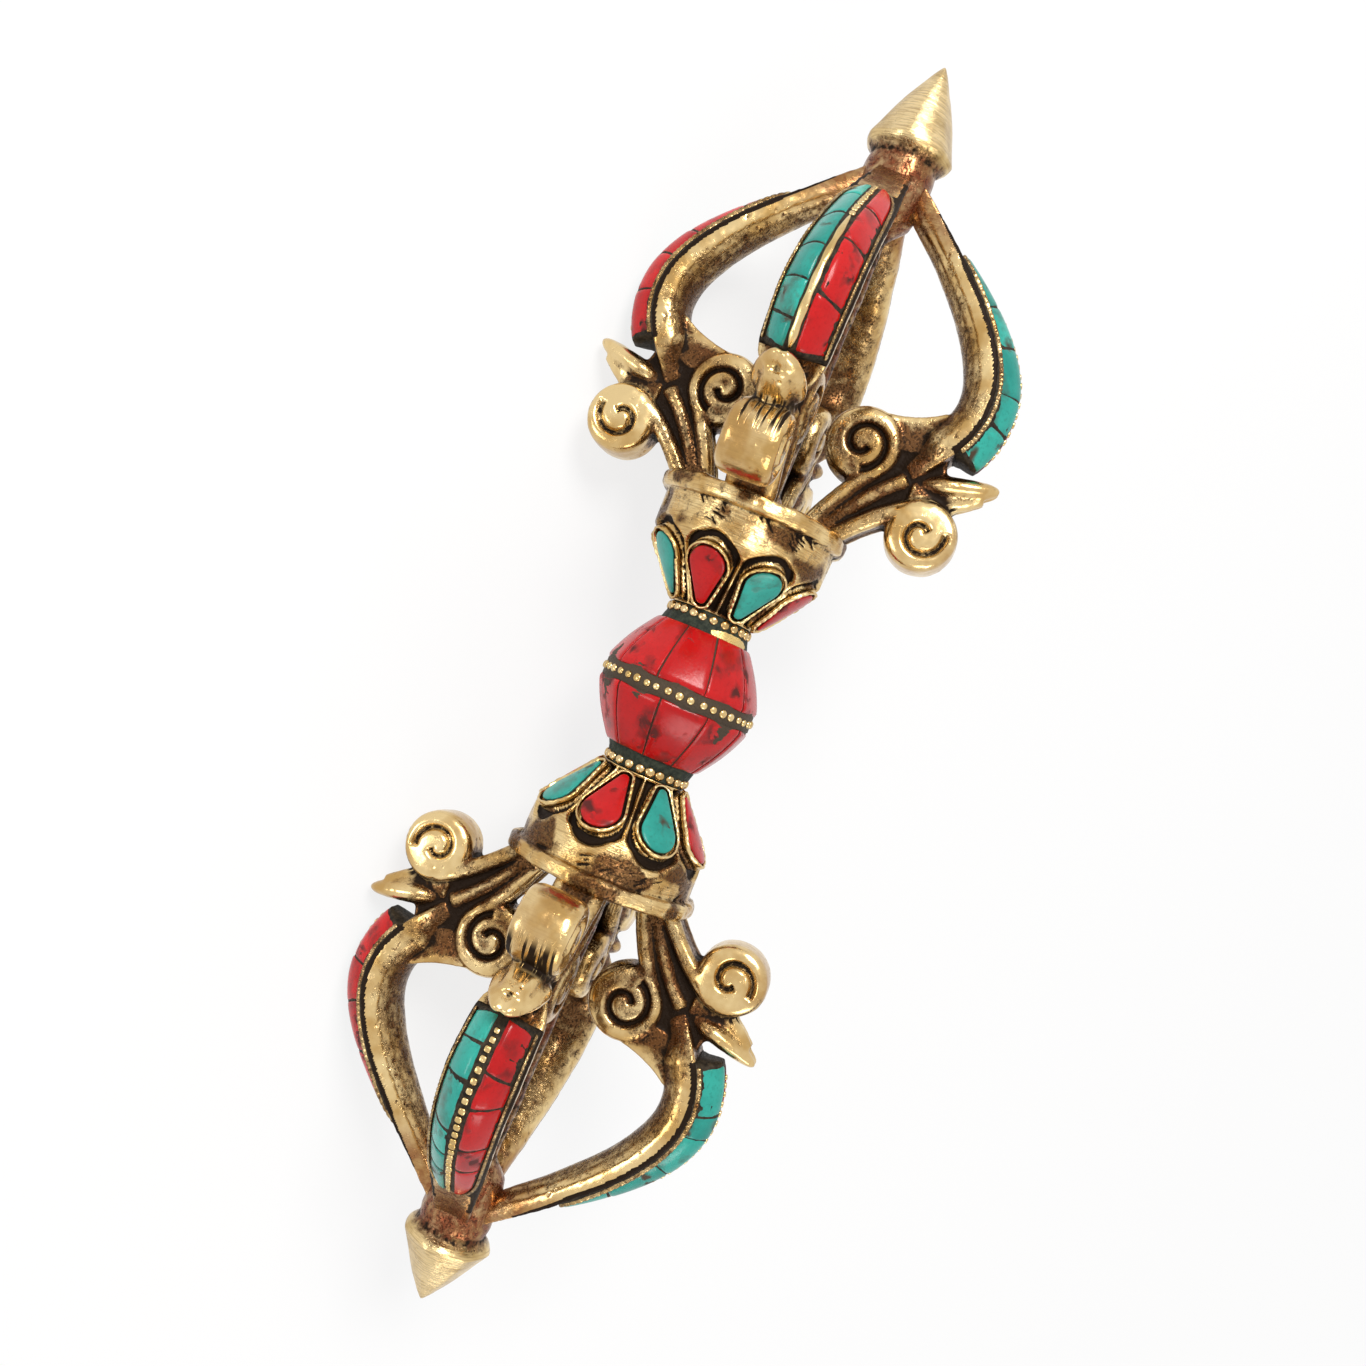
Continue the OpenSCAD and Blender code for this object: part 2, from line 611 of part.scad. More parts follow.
module central_prong(tip_h) {
    rod = [
        [0, rim_face - tenon_len + fit],
        [rod_tenon_r, rim_face - tenon_len + fit],
        [rod_tenon_r, rim_face],
        [rod_r * ROD_COLLAR_SHARE, rim_face],
        [rod_r * ROD_COLLAR_SHARE, rim_face + ROD_COLLAR_H],
        [rod_r, rim_face + 2 * ROD_COLLAR_H],
        [rod_r * ROD_TAPER_SHARE, neck_top - neck_h - ROD_COLLAR_H],
        [neck_flat * NECK_SOCKET_SHARE, neck_top - neck_h + ROD_COLLAR_H],
        [0, neck_top - neck_h + ROD_COLLAR_H]
    ];
    tip_plug_r = tip_r * TIP_PLUG_SHARE;
    tip = concat(
        [[0, neck_top - tip_flare_h], [tip_plug_r, neck_top - tip_flare_h], [tip_plug_r, neck_top]],
        [[tip_r * TIP_FOOT_SHARE, neck_top]],
        [for (i = [0:TIP_STEPS - 1]) tip_face(i / TIP_STEPS, tip_h)],
        [tip_face(1 - TIP_BLUNT_SHARE / TIP_STEPS, tip_h), [0, neck_top + tip_h]]
    );
    color(brass) {
        rotate_extrude() polygon(rod);
        rotate_extrude() polygon(tip);
        translate([0, 0, neck_top - neck_h]) intersection() {
            cylinder(r = neck_r, h = neck_h);
            translate([-neck_flat, -neck_flat, 0]) cube([2 * neck_flat, 2 * neck_flat, neck_h]);
        }
    }
}

// Lays the upright part down along X, on the floor
module laid() {
    translate([hub_x, 0, rest_h]) rotate([0, 90, 0]) children();
}

module at_end(end) {
    laid() mirror([0, 0, end == "left" ? 1 : 0]) children();
}

module hub_piece(piece) {
    laid() {
        if (piece == "hub_core") hub_core();
        if (piece == "hub_coral") hub_coral();
        if (piece == "hub_band_beads") hub_band_beads();
    }
}

module end_piece(end, piece) {
    at_end(end) {
        if (piece == "collar") collar();
        if (piece == "collar_beads") collar_beads();
        if (piece == "lotus") lotus();
        if (piece == "lotus_coral") petal_stones(0, coral);
        if (piece == "lotus_turquoise") petal_stones(1, turquoise);
        if (piece == "lotus_wires") lotus_wires();
        if (piece == "central_prong") rotate(45) central_prong(end == "left" ? left_tip_h : right_tip_h);
    }
}

module prong_piece(end, place, piece) {
    seed = 10 * place + (end == "left" ? 1 : 2);
    at_end(end) rotate(PRONG_TURN[place]) {
        if (piece == "prong") prong();
        if (piece == "bed") bed();
        if (piece == "coral") chip_row(-1, coral, seed);
        if (piece == "turquoise") chip_row(1, turquoise, seed + 5);
        if (piece == "wires") wires();
    }
}

for (piece = HUB_PIECES)
    hub_piece(piece);
for (end = ENDS, piece = END_PIECES)
    end_piece(end, piece);
for (end = ENDS, place = [0:3], piece = PRONG_PIECES)
    prong_piece(end, place, piece);
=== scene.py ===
import math

import bpy
import numpy as np
from mathutils import Matrix, Vector


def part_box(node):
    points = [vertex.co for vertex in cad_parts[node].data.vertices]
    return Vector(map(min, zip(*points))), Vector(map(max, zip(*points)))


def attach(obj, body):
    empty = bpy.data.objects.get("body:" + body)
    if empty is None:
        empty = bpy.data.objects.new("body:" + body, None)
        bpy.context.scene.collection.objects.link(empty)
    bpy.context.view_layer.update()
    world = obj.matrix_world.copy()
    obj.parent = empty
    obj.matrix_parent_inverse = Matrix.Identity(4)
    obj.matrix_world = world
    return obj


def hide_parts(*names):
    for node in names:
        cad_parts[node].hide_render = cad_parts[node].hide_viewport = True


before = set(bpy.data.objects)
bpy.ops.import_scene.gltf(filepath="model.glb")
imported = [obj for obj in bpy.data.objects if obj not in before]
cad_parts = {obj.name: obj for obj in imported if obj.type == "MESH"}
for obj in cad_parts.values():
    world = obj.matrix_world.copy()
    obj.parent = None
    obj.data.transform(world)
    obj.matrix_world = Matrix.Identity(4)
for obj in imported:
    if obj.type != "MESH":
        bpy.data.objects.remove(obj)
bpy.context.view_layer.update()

# The object's frame: millimetres from the hub's centre, radius out from the axis, height along it
MM = 0.001
hub_low, hub_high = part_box("hub_core")
HUB = np.array((hub_low + hub_high) / 2) / MM
RIM_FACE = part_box("right_lotus")[1].x / MM - HUB[0]
LOTUS_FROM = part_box("right_lotus")[0].x / MM - HUB[0]
CAGE = 47.0
NECK_TOP = RIM_FACE + CAGE
ENDS = ("left", "right")
# Bearing of each prong round the axis, in degrees
PRONGS = {"top_back": 135, "top_front": 225, "bottom_front": 315, "bottom_back": 45}


# Numbers

ROUND = 2 * math.pi
# Large odd numbers that scatter the cells of the noise
SCATTER = (73856093, 19349663, 83492791, 2654435761, 1274126177)
SEED_STEP = 31.7


def lerp(a, b, u):
    return a + (b - a) * u


def smoothstep(lo, hi, x):
    u = np.clip((x - lo) / (hi - lo), 0, 1)
    return u * u * (3 - 2 * u)


def bell(x, width):
    """1 where x is 0, falling away over the width given."""
    return np.exp(-(x / width) ** 2)


def circle(sides):
    return np.linspace(0, ROUND, sides, endpoint=False)


def unit(rows):
    return rows / np.linalg.norm(rows, axis=1)[:, None]


def about_axis(r, angle, a):
    """Points at a radius, a bearing and a height round the axis."""
    return np.stack(np.broadcast_arrays(r * np.cos(angle), r * np.sin(angle), a), axis=-1)


def hashed(cell, seed):
    """A number from -1 to 1 for each whole-number cell."""
    h = cell[:, 0] * SCATTER[0] ^ cell[:, 1] * SCATTER[1] ^ cell[:, 2] * SCATTER[2] ^ (seed * SCATTER[3])
    h = (h ^ (h >> 13)) * SCATTER[4]
    h = h ^ (h >> 16)
    return (h & 0xFFFFF) / 0x7FFFF - 1


def noise(points, size, seed):
    """Smooth noise from -1 to 1, with features of about the size given."""
    q = np.asarray(points, float) / size + SEED_STEP * seed
    base = np.floor(q).astype(np.int64)
    f = q - base
    f = f * f * (3 - 2 * f)
    total = np.zeros(len(q))
    for corner in np.ndindex(2, 2, 2):
        weight = np.prod(np.where(corner, f, 1 - f), axis=1)
        total += weight * hashed(base + np.array(corner), seed)
    return total


def rough(points, size, seed, octaves=3):
    return sum(noise(points, size / 2 ** k, seed + k) / 2 ** k for k in range(octaves))


# Lines, each point a radius and a height in the plane of a prong

def bezier(points, u):
    """Points and unit directions of a quadratic or cubic curve."""
    p = np.asarray(points, float)
    u = np.atleast_1d(u)[:, None]
    if len(p) == 3:
        at = (1 - u) ** 2 * p[0] + 2 * u * (1 - u) * p[1] + u ** 2 * p[2]
        way = lerp(p[1] - p[0], p[2] - p[1], u)
    else:
        at = (1 - u) ** 3 * p[0] + 3 * u * (1 - u) ** 2 * p[1] + 3 * u ** 2 * (1 - u) * p[2] + u ** 3 * p[3]
        d = p[1:] - p[:-1]
        way = (1 - u) ** 2 * d[0] + 2 * u * (1 - u) * d[1] + u ** 2 * d[2]
    return at, unit(way)


def steps_of(line):
    """Length of each step of a line."""
    return np.linalg.norm(np.diff(line, axis=0), axis=1)


def run_of(line):
    """Length along a line from its start to each of its points."""
    return np.concatenate(([0], np.cumsum(steps_of(line))))


def resampled(points, step):
    points = np.asarray(points, float)
    run = run_of(points)
    at = np.linspace(0, run[-1], int(run[-1] / step) + 2)
    return np.column_stack([np.interp(at, run, points[:, k]) for k in (0, 1)])


def softened(points, steps):
    p = points.copy()
    for _ in range(steps):
        p[1:-1] += 0.5 * (0.5 * (p[:-2] + p[2:]) - p[1:-1])
    return p


# Sizes of a prong: the spoke's seat line, its widths at root, pull and foot, its depths at root and foot
SPOKE = ((16.6, RIM_FACE + 10.4), (27.6, RIM_FACE + 21.2), (21.4, NECK_TOP - 17.3), (4.3, NECK_TOP - 2.8))
SPOKE_WIDTHS = (7.4, 11.0, 4.6)
SPOKE_DEPTHS = (4.6, 2.8)
SPOKE_LEN = steps_of(bezier(SPOKE, np.linspace(0, 1, 400))[0]).sum()
SCROLL = np.array((20.4, RIM_FACE + 3.9))
SCROLL_R, SCROLL_HALF = 4.45, 3.3
VOLUTE = np.array((9.4, RIM_FACE + 12))
VOLUTE_R, VOLUTE_HALF = 4.8, 2.9
# Shares of the spoke where the inlay starts and ends
INLAY_FROM, INLAY_TO = 0.16, 0.85
INLAY_LEN = (INLAY_TO - INLAY_FROM) * SPOKE_LEN
WIRE_W = 0.55
CROWN_HALF, EDGE_H = 0.6, 0.72
# Heights of the ridge near the snout and at the foot, and where it starts to fall
CROWN_H = (3.4, 1.1)
CROWN_FALL = 0.4


def spoke_half(u):
    root, pull, foot = SPOKE_WIDTHS
    return ((1 - u) ** 2 * root + 2 * u * (1 - u) * pull + u ** 2 * foot) / 2


def spoke_depth(u):
    return lerp(*SPOKE_DEPTHS, u)


def crown(u):
    """Height of the ridge between the rows of stones."""
    return lerp(*CROWN_H, np.clip((u - CROWN_FALL) / (INLAY_TO - CROWN_FALL), 0, 1) ** 1.5)


def on_spoke(u, t, n):
    """Points at place u along the spoke, t across it and n outward from its seat line."""
    at, way = bezier(SPOKE, u)
    return np.column_stack((at[:, 0] + n * way[:, 1], t, at[:, 1] - n * way[:, 0]))


# Meshes as plain arrays

def skin(rings, closed=True, caps=True, turned=False):
    """Faces over rings of points, each ring with as many points as the others."""
    rings = np.asarray(rings, float)
    n, m = rings.shape[:2]
    i, j = np.meshgrid(np.arange(n - 1), np.arange(m if closed else m - 1), indexing="ij")
    k = (j + 1) % m
    quads = np.stack((i * m + j, (i + 1) * m + j, (i + 1) * m + k, i * m + k), axis=-1).reshape(-1, 4)
    faces = quads.tolist()
    if caps:
        faces += [list(range(m)), list(range(n * m - 1, (n - 1) * m - 1, -1))]
    if turned:
        faces = [f[::-1] for f in faces]
    return rings.reshape(-1, 3), faces


def joined(parts):
    verts, faces, start = [], [], 0
    for v, f in parts:
        verts.append(v)
        faces += [[i + start for i in face] for face in f]
        start += len(v)
    return np.concatenate(verts), faces


def edges_of(faces):
    pairs = {(min(a, b), max(a, b)) for f in faces for a, b in zip(f, f[1:] + f[:1])}
    return np.array(sorted(pairs))


def smoothed(verts, edges, steps, share=0.5):
    """Each point moves toward its neighbours' middle."""
    n = len(verts)
    a, b = edges.T
    degree = np.maximum(np.bincount(a, minlength=n) + np.bincount(b, minlength=n), 1)
    v = verts.copy()
    for _ in range(steps):
        sums = [np.bincount(a, v[b, k], n) + np.bincount(b, v[a, k], n) for k in range(3)]
        v += share * (np.stack(sums, axis=1) / degree[:, None] - v)
    return v


def normals_of(verts, faces):
    quads = np.array([f if len(f) == 4 else f[:3] + f[2:3] for f in faces])
    cross = np.cross(verts[quads[:, 2]] - verts[quads[:, 0]], verts[quads[:, 3]] - verts[quads[:, 1]])
    total = np.zeros_like(verts)
    for k in range(4):
        for c in range(3):
            total[:, c] += np.bincount(quads[:, k], cross[:, c], len(verts))
    return total / np.maximum(np.linalg.norm(total, axis=1), 1e-9)[:, None]


def hollows(verts, faces, edges, steps):
    """How far each point lies below the smoothed surface, in millimetres."""
    return np.einsum("ij,ij->i", smoothed(verts, edges, steps) - verts, normals_of(verts, faces))


def roughened(form, depth, size, seed):
    """A form pushed in and out along its normals."""
    verts, faces = form
    return verts + (depth * rough(verts, size, seed))[:, None] * normals_of(verts, faces), faces


def placed(name, data):
    """A new object in the scene."""
    obj = bpy.data.objects.new(name, data)
    bpy.context.scene.collection.objects.link(obj)
    return obj


def remeshed(verts, faces, voxel):
    """One even skin round parts that overlap."""
    mesh = bpy.data.meshes.new("rough_form")
    mesh.from_pydata(verts.tolist(), [], faces)
    obj = placed("rough_form", mesh)
    remesh = obj.modifiers.new("skin", "REMESH")
    remesh.mode = "VOXEL"
    remesh.voxel_size = voxel
    made = obj.evaluated_get(bpy.context.evaluated_depsgraph_get()).to_mesh()
    out = np.empty(len(made.vertices) * 3)
    made.vertices.foreach_get("co", out)
    quads = [list(p.vertices) for p in made.polygons]
    bpy.data.objects.remove(obj)
    bpy.data.meshes.remove(mesh)
    return out.reshape(-1, 3), quads


# Placing

def to_world(points, end, turn):
    """From radius, across and height on a prong turned round the axis, to the laid object."""
    r, t, a = points.T
    c, s = math.cos(math.radians(turn)), math.sin(math.radians(turn))
    way = 1 if end == "right" else -1
    return np.column_stack((HUB[0] + way * a, HUB[1] + r * s + t * c, HUB[2] - (r * c - t * s)))


def piece(node, form, material, fields, end="right", turn=0):
    """A finished piece that stands for a CAD node, laid in its place. The left end is a mirror image."""
    verts, faces = form
    name = f"{node}_finish"
    mesh = bpy.data.meshes.new(name)
    places = to_world(verts, end, turn) * MM
    mesh.from_pydata(places.tolist(), [], [f[::-1] for f in faces] if end == "left" else faces)
    mesh.polygons.foreach_set("use_smooth", [True] * len(mesh.polygons))
    for key, values in fields.items():
        kind = "FLOAT" if np.ndim(values) == 1 else "FLOAT_VECTOR"
        data = mesh.attributes.new(key, kind, "POINT").data
        data.foreach_set("value" if kind == "FLOAT" else "vector", np.ravel(values).astype(np.float32))
    mesh.materials.append(material)
    mesh.update()
    obj = placed(name, mesh)
    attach(obj, "root")
    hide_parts(node)


def brass_fields(local, hollow=0.0, filed=0.0, warm=0.0, polish_and_shade=0.0):
    """The fields that a brass reads, each one number for the whole piece or a number for each point."""
    given = {"hollow": hollow, "filed": filed, "warm": warm, "polish_and_shade": polish_and_shade}
    return {"local": local} | {key: np.broadcast_to(value, len(local)) for key, value in given.items()}


# Materials

class Nodes:
    """A short way to write a node tree."""

    def __init__(self, name):
        self.material = bpy.data.materials.new(name)
        self.material.use_nodes = True
        self.tree = self.material.node_tree
        self.shader = self.tree.nodes["Principled BSDF"]

    def add(self, kind, inputs=None, **settings):
        node = self.tree.nodes.new(kind)
        for key, value in settings.items():
            setattr(node, key, value)
        for key, value in (inputs or {}).items():
            self.put(node.inputs[key], value)
        return node

    def put(self, socket, value):
        if isinstance(value, bpy.types.NodeSocket):
            self.tree.links.new(value, socket)
        else:
            socket.default_value = value

    def set(self, **values):
        for key, value in values.items():
            self.put(self.shader.inputs[key.replace("_", " ")], value)

    def field(self, name, kind="Fac"):
        return self.add("ShaderNodeAttribute", attribute_name=name).outputs[kind]

    def noise(self, vector, scale, detail=4, roughness=0.55, distortion=0.0):
        inputs = {"Vector": vector, "Scale": scale, "Detail": detail, "Roughness": roughness}
        return self.add("ShaderNodeTexNoise", inputs | {"Distortion": distortion}).outputs["Fac"]

    def span(self, value, lo, hi, to_lo=0.0, to_hi=1.0):
        inputs = {"Value": value, "From Min": lo, "From Max": hi, "To Min": to_lo, "To Max": to_hi}
        return self.add("ShaderNodeMapRange", inputs).outputs["Result"]

    def math(self, kind, a, b):
        clamp = kind != "MULTIPLY"
        return self.add("ShaderNodeMath", {0: a, 1: b}, operation=kind, use_clamp=clamp).outputs[0]

    def mix(self, share, a, b):
        node = self.add("ShaderNodeMix", data_type="RGBA")
        for socket, value in ((node.inputs[0], share), (node.inputs[6], a), (node.inputs[7], b)):
            self.put(socket, value)
        return node.outputs[2]

    def stretched(self, vector, scale):
        return self.add("ShaderNodeMapping", {"Vector": vector, "Scale": scale}).outputs["Vector"]

    def bump(self, height, strength, distance, under=None):
        node = self.add("ShaderNodeBump", {"Height": height, "Strength": strength, "Distance": distance})
        if under is not None:
            self.put(node.inputs["Normal"], under)
        return node.outputs["Normal"]


def rgb(r, g, b):
    return (r, g, b, 1.0)


# Colours of worn brass: brown film, which also serves as painted shade, file cuts, flux by the solder, dirt
# in the hollows, bare metal
BROWN_FILM_AND_SHADE = rgb(0.112, 0.044, 0.0155)
FILE_CUT = rgb(0.26, 0.15, 0.05)
FLUX = rgb(0.21, 0.062, 0.028)
DIRT = rgb(0.013, 0.0062, 0.0024)
BARE = rgb(0.7, 0.5, 0.2)
# How a file's marks and the score lines are stretched
FILE_WAY = (0.25, 0.25, 4.0)
TIP_FILE_WAY = (0.22, 0.22, 4.0)
SCORE_WAY = (0.08, 1.5, 0.08)


def brass_material(name, bright, deep, shine, file_way=FILE_WAY, stain=DIRT):
    """Old cast brass: bright on what stands out, brown on plain sides, near black in what lies low. Its
    brown film also serves as painted shade where the polish field is lowered for shade.
    """
    n = Nodes(name)
    here = n.field("local", "Vector")
    hollow, filed, warm, scored, polish_and_shade = map(n.field, ("hollow", "filed", "warm", "scored", "polish_and_shade"))
    broad = n.noise(here, 0.2, 3)
    patch = n.noise(here, 0.7, 5, 0.62, 0.4)
    fine = n.noise(here, 1.5, 4, 0.6)
    grain = n.noise(here, 3.4, 2, 0.5)
    tone = n.mix(n.span(broad, 0.38, 0.62), deep, bright)
    # A lower polish field gives more brown film; where the fields lower it for shade, this film is painted
    # shade.
    rub_and_shade = n.span(polish_and_shade, -1.0, 1.0, -0.24, 0.24)
    worn = n.math("SUBTRACT", n.span(patch, 0.0, 1.0, 0.22, 0.78), rub_and_shade)
    film_and_shade = n.span(worn, 0.36, 0.63, 0.0, 0.95)
    tone = n.mix(film_and_shade, tone, BROWN_FILM_AND_SHADE)
    marks = n.noise(n.stretched(here, file_way), 1.6, 3, 0.6)
    cut = n.math("MULTIPLY", n.span(marks, 0.48, 0.62), n.math("MULTIPLY", filed, 0.42))
    tone = n.mix(cut, tone, FILE_CUT)
    tone = n.mix(n.math("MULTIPLY", warm, n.span(patch, 0.35, 0.6, 0.4, 1.0)), tone, FLUX)
    low = n.math("ADD", hollow, n.span(fine, 0.25, 0.75, -0.3, 0.3))
    speckle = n.span(n.math("SUBTRACT", patch, n.span(polish_and_shade, -1.0, 1.0, -0.2, 0.2)), 0.4, 0.58)
    pits = n.math("MULTIPLY", n.span(grain, 0.5, 0.6), speckle)
    dirt = n.math("MAXIMUM", n.span(low, 0.34, 0.62), n.math("MULTIPLY", pits, 0.7))
    score = n.noise(n.stretched(here, SCORE_WAY), 1.5, 2, 0.5)
    lines = n.math("MULTIPLY", n.span(score, 0.49, 0.55), scored)
    dirt = n.math("MAXIMUM", dirt, lines)
    dull = n.math("MAXIMUM", dirt, n.math("MULTIPLY", film_and_shade, 0.25))
    gloss = n.span(dull, 0.0, 1.0, shine, 0.52)
    under = n.bump(n.math("MAXIMUM", pits, lines), 0.5, -0.00012)
    under = n.bump(fine, 0.13, 0.00012, under)
    n.set(Base_Color=n.mix(dirt, tone, stain),
          Metallic=n.span(dirt, 0.0, 1.0, 1.0, 0.12),
          Specular_IOR_Level=0.1,
          Roughness=n.math("ADD", gloss, n.span(fine, 0.3, 0.75, -0.04, 0.08)),
          Normal=n.bump(n.math("MULTIPLY", marks, filed), 0.5, 0.0002, under))
    return n.material


def stone_material(name, tones, crack, crack_width, shine, ior):
    """A polished stone whose chips differ in tone, with dark specks and filled cracks."""
    n = Nodes(name)
    here = n.field("local", "Vector")
    broad = n.noise(here, 0.35, 4, 0.6)
    fine = n.noise(here, 2.4, 4, 0.6)
    share = n.math("ADD", n.span(broad, 0.3, 0.7, -0.25, 0.25), n.field("tint"))
    tone = n.mix(share, tones[0], tones[1])
    tone = n.mix(n.span(fine, 0.52, 0.74, 0.0, 0.5), tone, tones[2])
    smudge = n.math("MULTIPLY", n.span(n.noise(here, 0.24, 4, 0.6), 0.54, 0.74), 0.75)
    tone = n.mix(smudge, tone, crack)
    lines = n.math("SUBTRACT", n.noise(here, 0.42, 5, 0.62, 0.6), 0.5)
    cracks = n.math("MULTIPLY", n.span(lines, crack_width, 0.0), n.span(n.noise(here, 0.3, 2), 0.56, 0.68))
    dots = n.math("MULTIPLY", n.span(n.noise(here, 4.5, 2), 0.7, 0.76), n.span(broad, 0.5, 0.62))
    marred = n.math("MAXIMUM", cracks, n.math("MULTIPLY", dots, 0.6))
    edge = n.math("ADD", n.field("hollow"), n.span(fine, 0.3, 0.7, -0.2, 0.2))
    marred = n.math("MAXIMUM", marred, n.span(edge, 0.5, 1.0))
    gloss = n.span(fine, 0.3, 0.7, shine, shine + 0.12)
    n.set(Base_Color=n.mix(marred, tone, crack),
          IOR=ior,
          Specular_IOR_Level=0.32,
          Roughness=n.math("ADD", gloss, n.math("MULTIPLY", marred, 0.4)),
          Normal=n.bump(marred, 0.4, -0.0001, n.bump(fine, 0.12, 0.00008)))
    return n.material


def cement_material(name, dark, pale):
    """Dark cement, with brass rubbed bare where the strip field says so."""
    n = Nodes(name)
    here = n.field("local", "Vector")
    fine = n.noise(here, 1.6, 5, 0.65)
    grain = n.noise(here, 6.0, 3, 0.6)
    strip = n.math("ADD", n.field("strip"), n.span(fine, 0.3, 0.7, -0.25, 0.25))
    strip = n.span(strip, 0.45, 0.6)
    gloss = n.span(grain, 0.3, 0.7, 0.42, 0.75)
    n.set(Base_Color=n.mix(strip, n.mix(n.span(fine, 0.38, 0.7), dark, pale), BARE),
          Metallic=strip,
          Specular_IOR_Level=0.12,
          Roughness=n.math("SUBTRACT", gloss, n.math("MULTIPLY", strip, 0.25)),
          Normal=n.bump(grain, 0.4, 0.00013, n.bump(fine, 0.45, 0.00028)))
    return n.material


BRASS = brass_material("cast_brass", rgb(0.77, 0.575, 0.285), rgb(0.52, 0.32, 0.11), 0.19)
TIP_BRASS = brass_material("filed_brass", rgb(0.8, 0.61, 0.32), rgb(0.5, 0.34, 0.135), 0.2, TIP_FILE_WAY)
WIRE = brass_material("brass_wire", rgb(0.78, 0.59, 0.3), rgb(0.52, 0.34, 0.12), 0.22)
CORAL_TONES = (rgb(0.39, 0.004, 0.005), rgb(0.57, 0.01, 0.01), rgb(0.29, 0.003, 0.004))
CORAL = stone_material("coral", CORAL_TONES, rgb(0.075, 0.008, 0.006), 0.012, 0.14, 1.45)
TURQUOISE_TONES = (rgb(0.009, 0.22, 0.182), rgb(0.033, 0.4, 0.325), rgb(0.014, 0.16, 0.13))
TURQUOISE = stone_material("turquoise", TURQUOISE_TONES, rgb(0.05, 0.03, 0.014), 0.024, 0.15, 1.5)
CEMENT = cement_material("setting_cement", rgb(0.012, 0.0095, 0.007), rgb(0.062, 0.046, 0.029))
HUB_STAIN = rgb(0.072, 0.053, 0.036)
HUB_BRASS = brass_material("hub_brass", rgb(0.76, 0.57, 0.285), rgb(0.5, 0.32, 0.115), 0.3, stain=HUB_STAIN)
COLLAR_CEMENT = cement_material("collar_cement", rgb(0.012, 0.017, 0.013), rgb(0.05, 0.058, 0.04))


# Prong casting, in radius, across and height

BARREL_SIDES, BARREL_EDGE = 72, 0.8
# Stems from the rim to the scroll, the snout and the volute: foot radius, way they arrive in degrees,
# reach of their bend, radius and distance from the prong's middle
STEMS = ((10.2, 28, 4.6, 1.12, 2.2), (8.45, 40, 6, 1.0, 1.8), (6.7, 50, 4.6, 1.08, 2.0))
STEM_SINK = 1.0
# Bearings in degrees where the outer stems meet the scroll and the volute
SCROLL_MEET, VOLUTE_MEET = 118, -40
WEB_R, WEB_SQUASH, WEB_SIDES = 0.95, 2.5, 20
HEART_HALF, FILLET_HALF = 2.0, 2.4
SNOUT_ROOT = np.array(SPOKE[0]) + (-0.5, -0.8)
SNOUT = np.array((SNOUT_ROOT, SNOUT_ROOT + (6, 1.2), (27.4, RIM_FACE + 12.8)))
LEAF_HALF, LEAF_DEPTH, LEAF_SIDES = 3.6, 1.7, 40
JAW = ((17.2, RIM_FACE + 8.6), (21.4, RIM_FACE + 8.4), (25.2, RIM_FACE + 11.6))
JAW_RADII, JAW_SQUASH = (2.3, 1.5), 1.15
COARSE_VOXEL, FINE_VOXEL = 0.32, 0.21
# Spiral grooves: centre, radius and half length of the barrel, start in degrees, turns
SPIRALS = ((SCROLL, SCROLL_R, SCROLL_HALF, 20, -0.95), (VOLUTE, VOLUTE_R, VOLUTE_HALF, -75, 1.15))
GROOVE_DEPTH, GROOVE_W = 0.85, 0.42
CREASE_DEPTH, CREASE_W = 0.26, 0.5
FAR_OFF = 9.0


def tube(line, radius, sides=12, squash=1.0):
    """A round bar along a line that keeps its distance from the prong's middle plane."""
    way = unit(np.gradient(line, axis=0))
    out = np.column_stack((way[:, 2], np.zeros(len(line)), -way[:, 0]))
    radius = np.broadcast_to(radius, len(line))
    angle = circle(sides)
    outward = np.cos(angle)[None, :, None] * out[:, None]
    sideways = squash * np.sin(angle)[None, :, None] * np.array((0, 1, 0))
    return skin(line[:, None] + radius[:, None, None] * (outward + sideways))


def across(line, t):
    """A line of the prong's plane, moved t across it."""
    return np.column_stack((line[:, 0], t * np.ones(len(line)), line[:, 1]))


def barrel(c, radius, half):
    """A short round bar across the prong with softened edges and a slight swell."""
    angle = circle(BARREL_SIDES)
    around = np.column_stack((np.cos(angle), np.sin(angle)))
    t = [-half, -half, -half + 0.3 * BARREL_EDGE, -half + BARREL_EDGE]
    r = [0.05, radius - BARREL_EDGE, radius - 0.35 * BARREL_EDGE, radius]
    t += [-0.5 * half, 0, 0.5 * half] + [-x for x in t[::-1]]
    r += [radius + 0.06, radius + 0.1, radius + 0.06] + r[::-1]
    return skin([across(c + rr * around, tt) for rr, tt in zip(r, t)])


def plate(outline, half):
    return skin([across(outline, t) for t in (-half, half)])


def stem_line(foot_r, meet, way_angle, reach):
    way = np.array((math.cos(math.radians(way_angle)), math.sin(math.radians(way_angle))))
    return bezier(((foot_r, RIM_FACE - 0.4), meet - reach * way, meet), np.linspace(0, 1, 24))[0]


def polar(c, r, angle):
    a = np.radians(angle)
    return np.array((c[0] + r * np.cos(a), c[1] + r * np.sin(a)))


def snout_leaf():
    """The snout's flat, pointed lip."""
    places = np.linspace(0, 0.985, 36)
    at, way = bezier(SNOUT, places)
    widths = (1 - places ** 3.2) ** 0.55 * lerp(0.42, 1, smoothstep(0, 0.42, places))
    angle = circle(LEAF_SIDES)
    rings = []
    for p, w, wide in zip(at, way, widths):
        n = wide * LEAF_DEPTH * np.sin(angle)
        rings.append(np.column_stack((p[0] + n * w[1], wide * LEAF_HALF * np.cos(angle), p[1] - n * w[0])))
    return skin(rings)


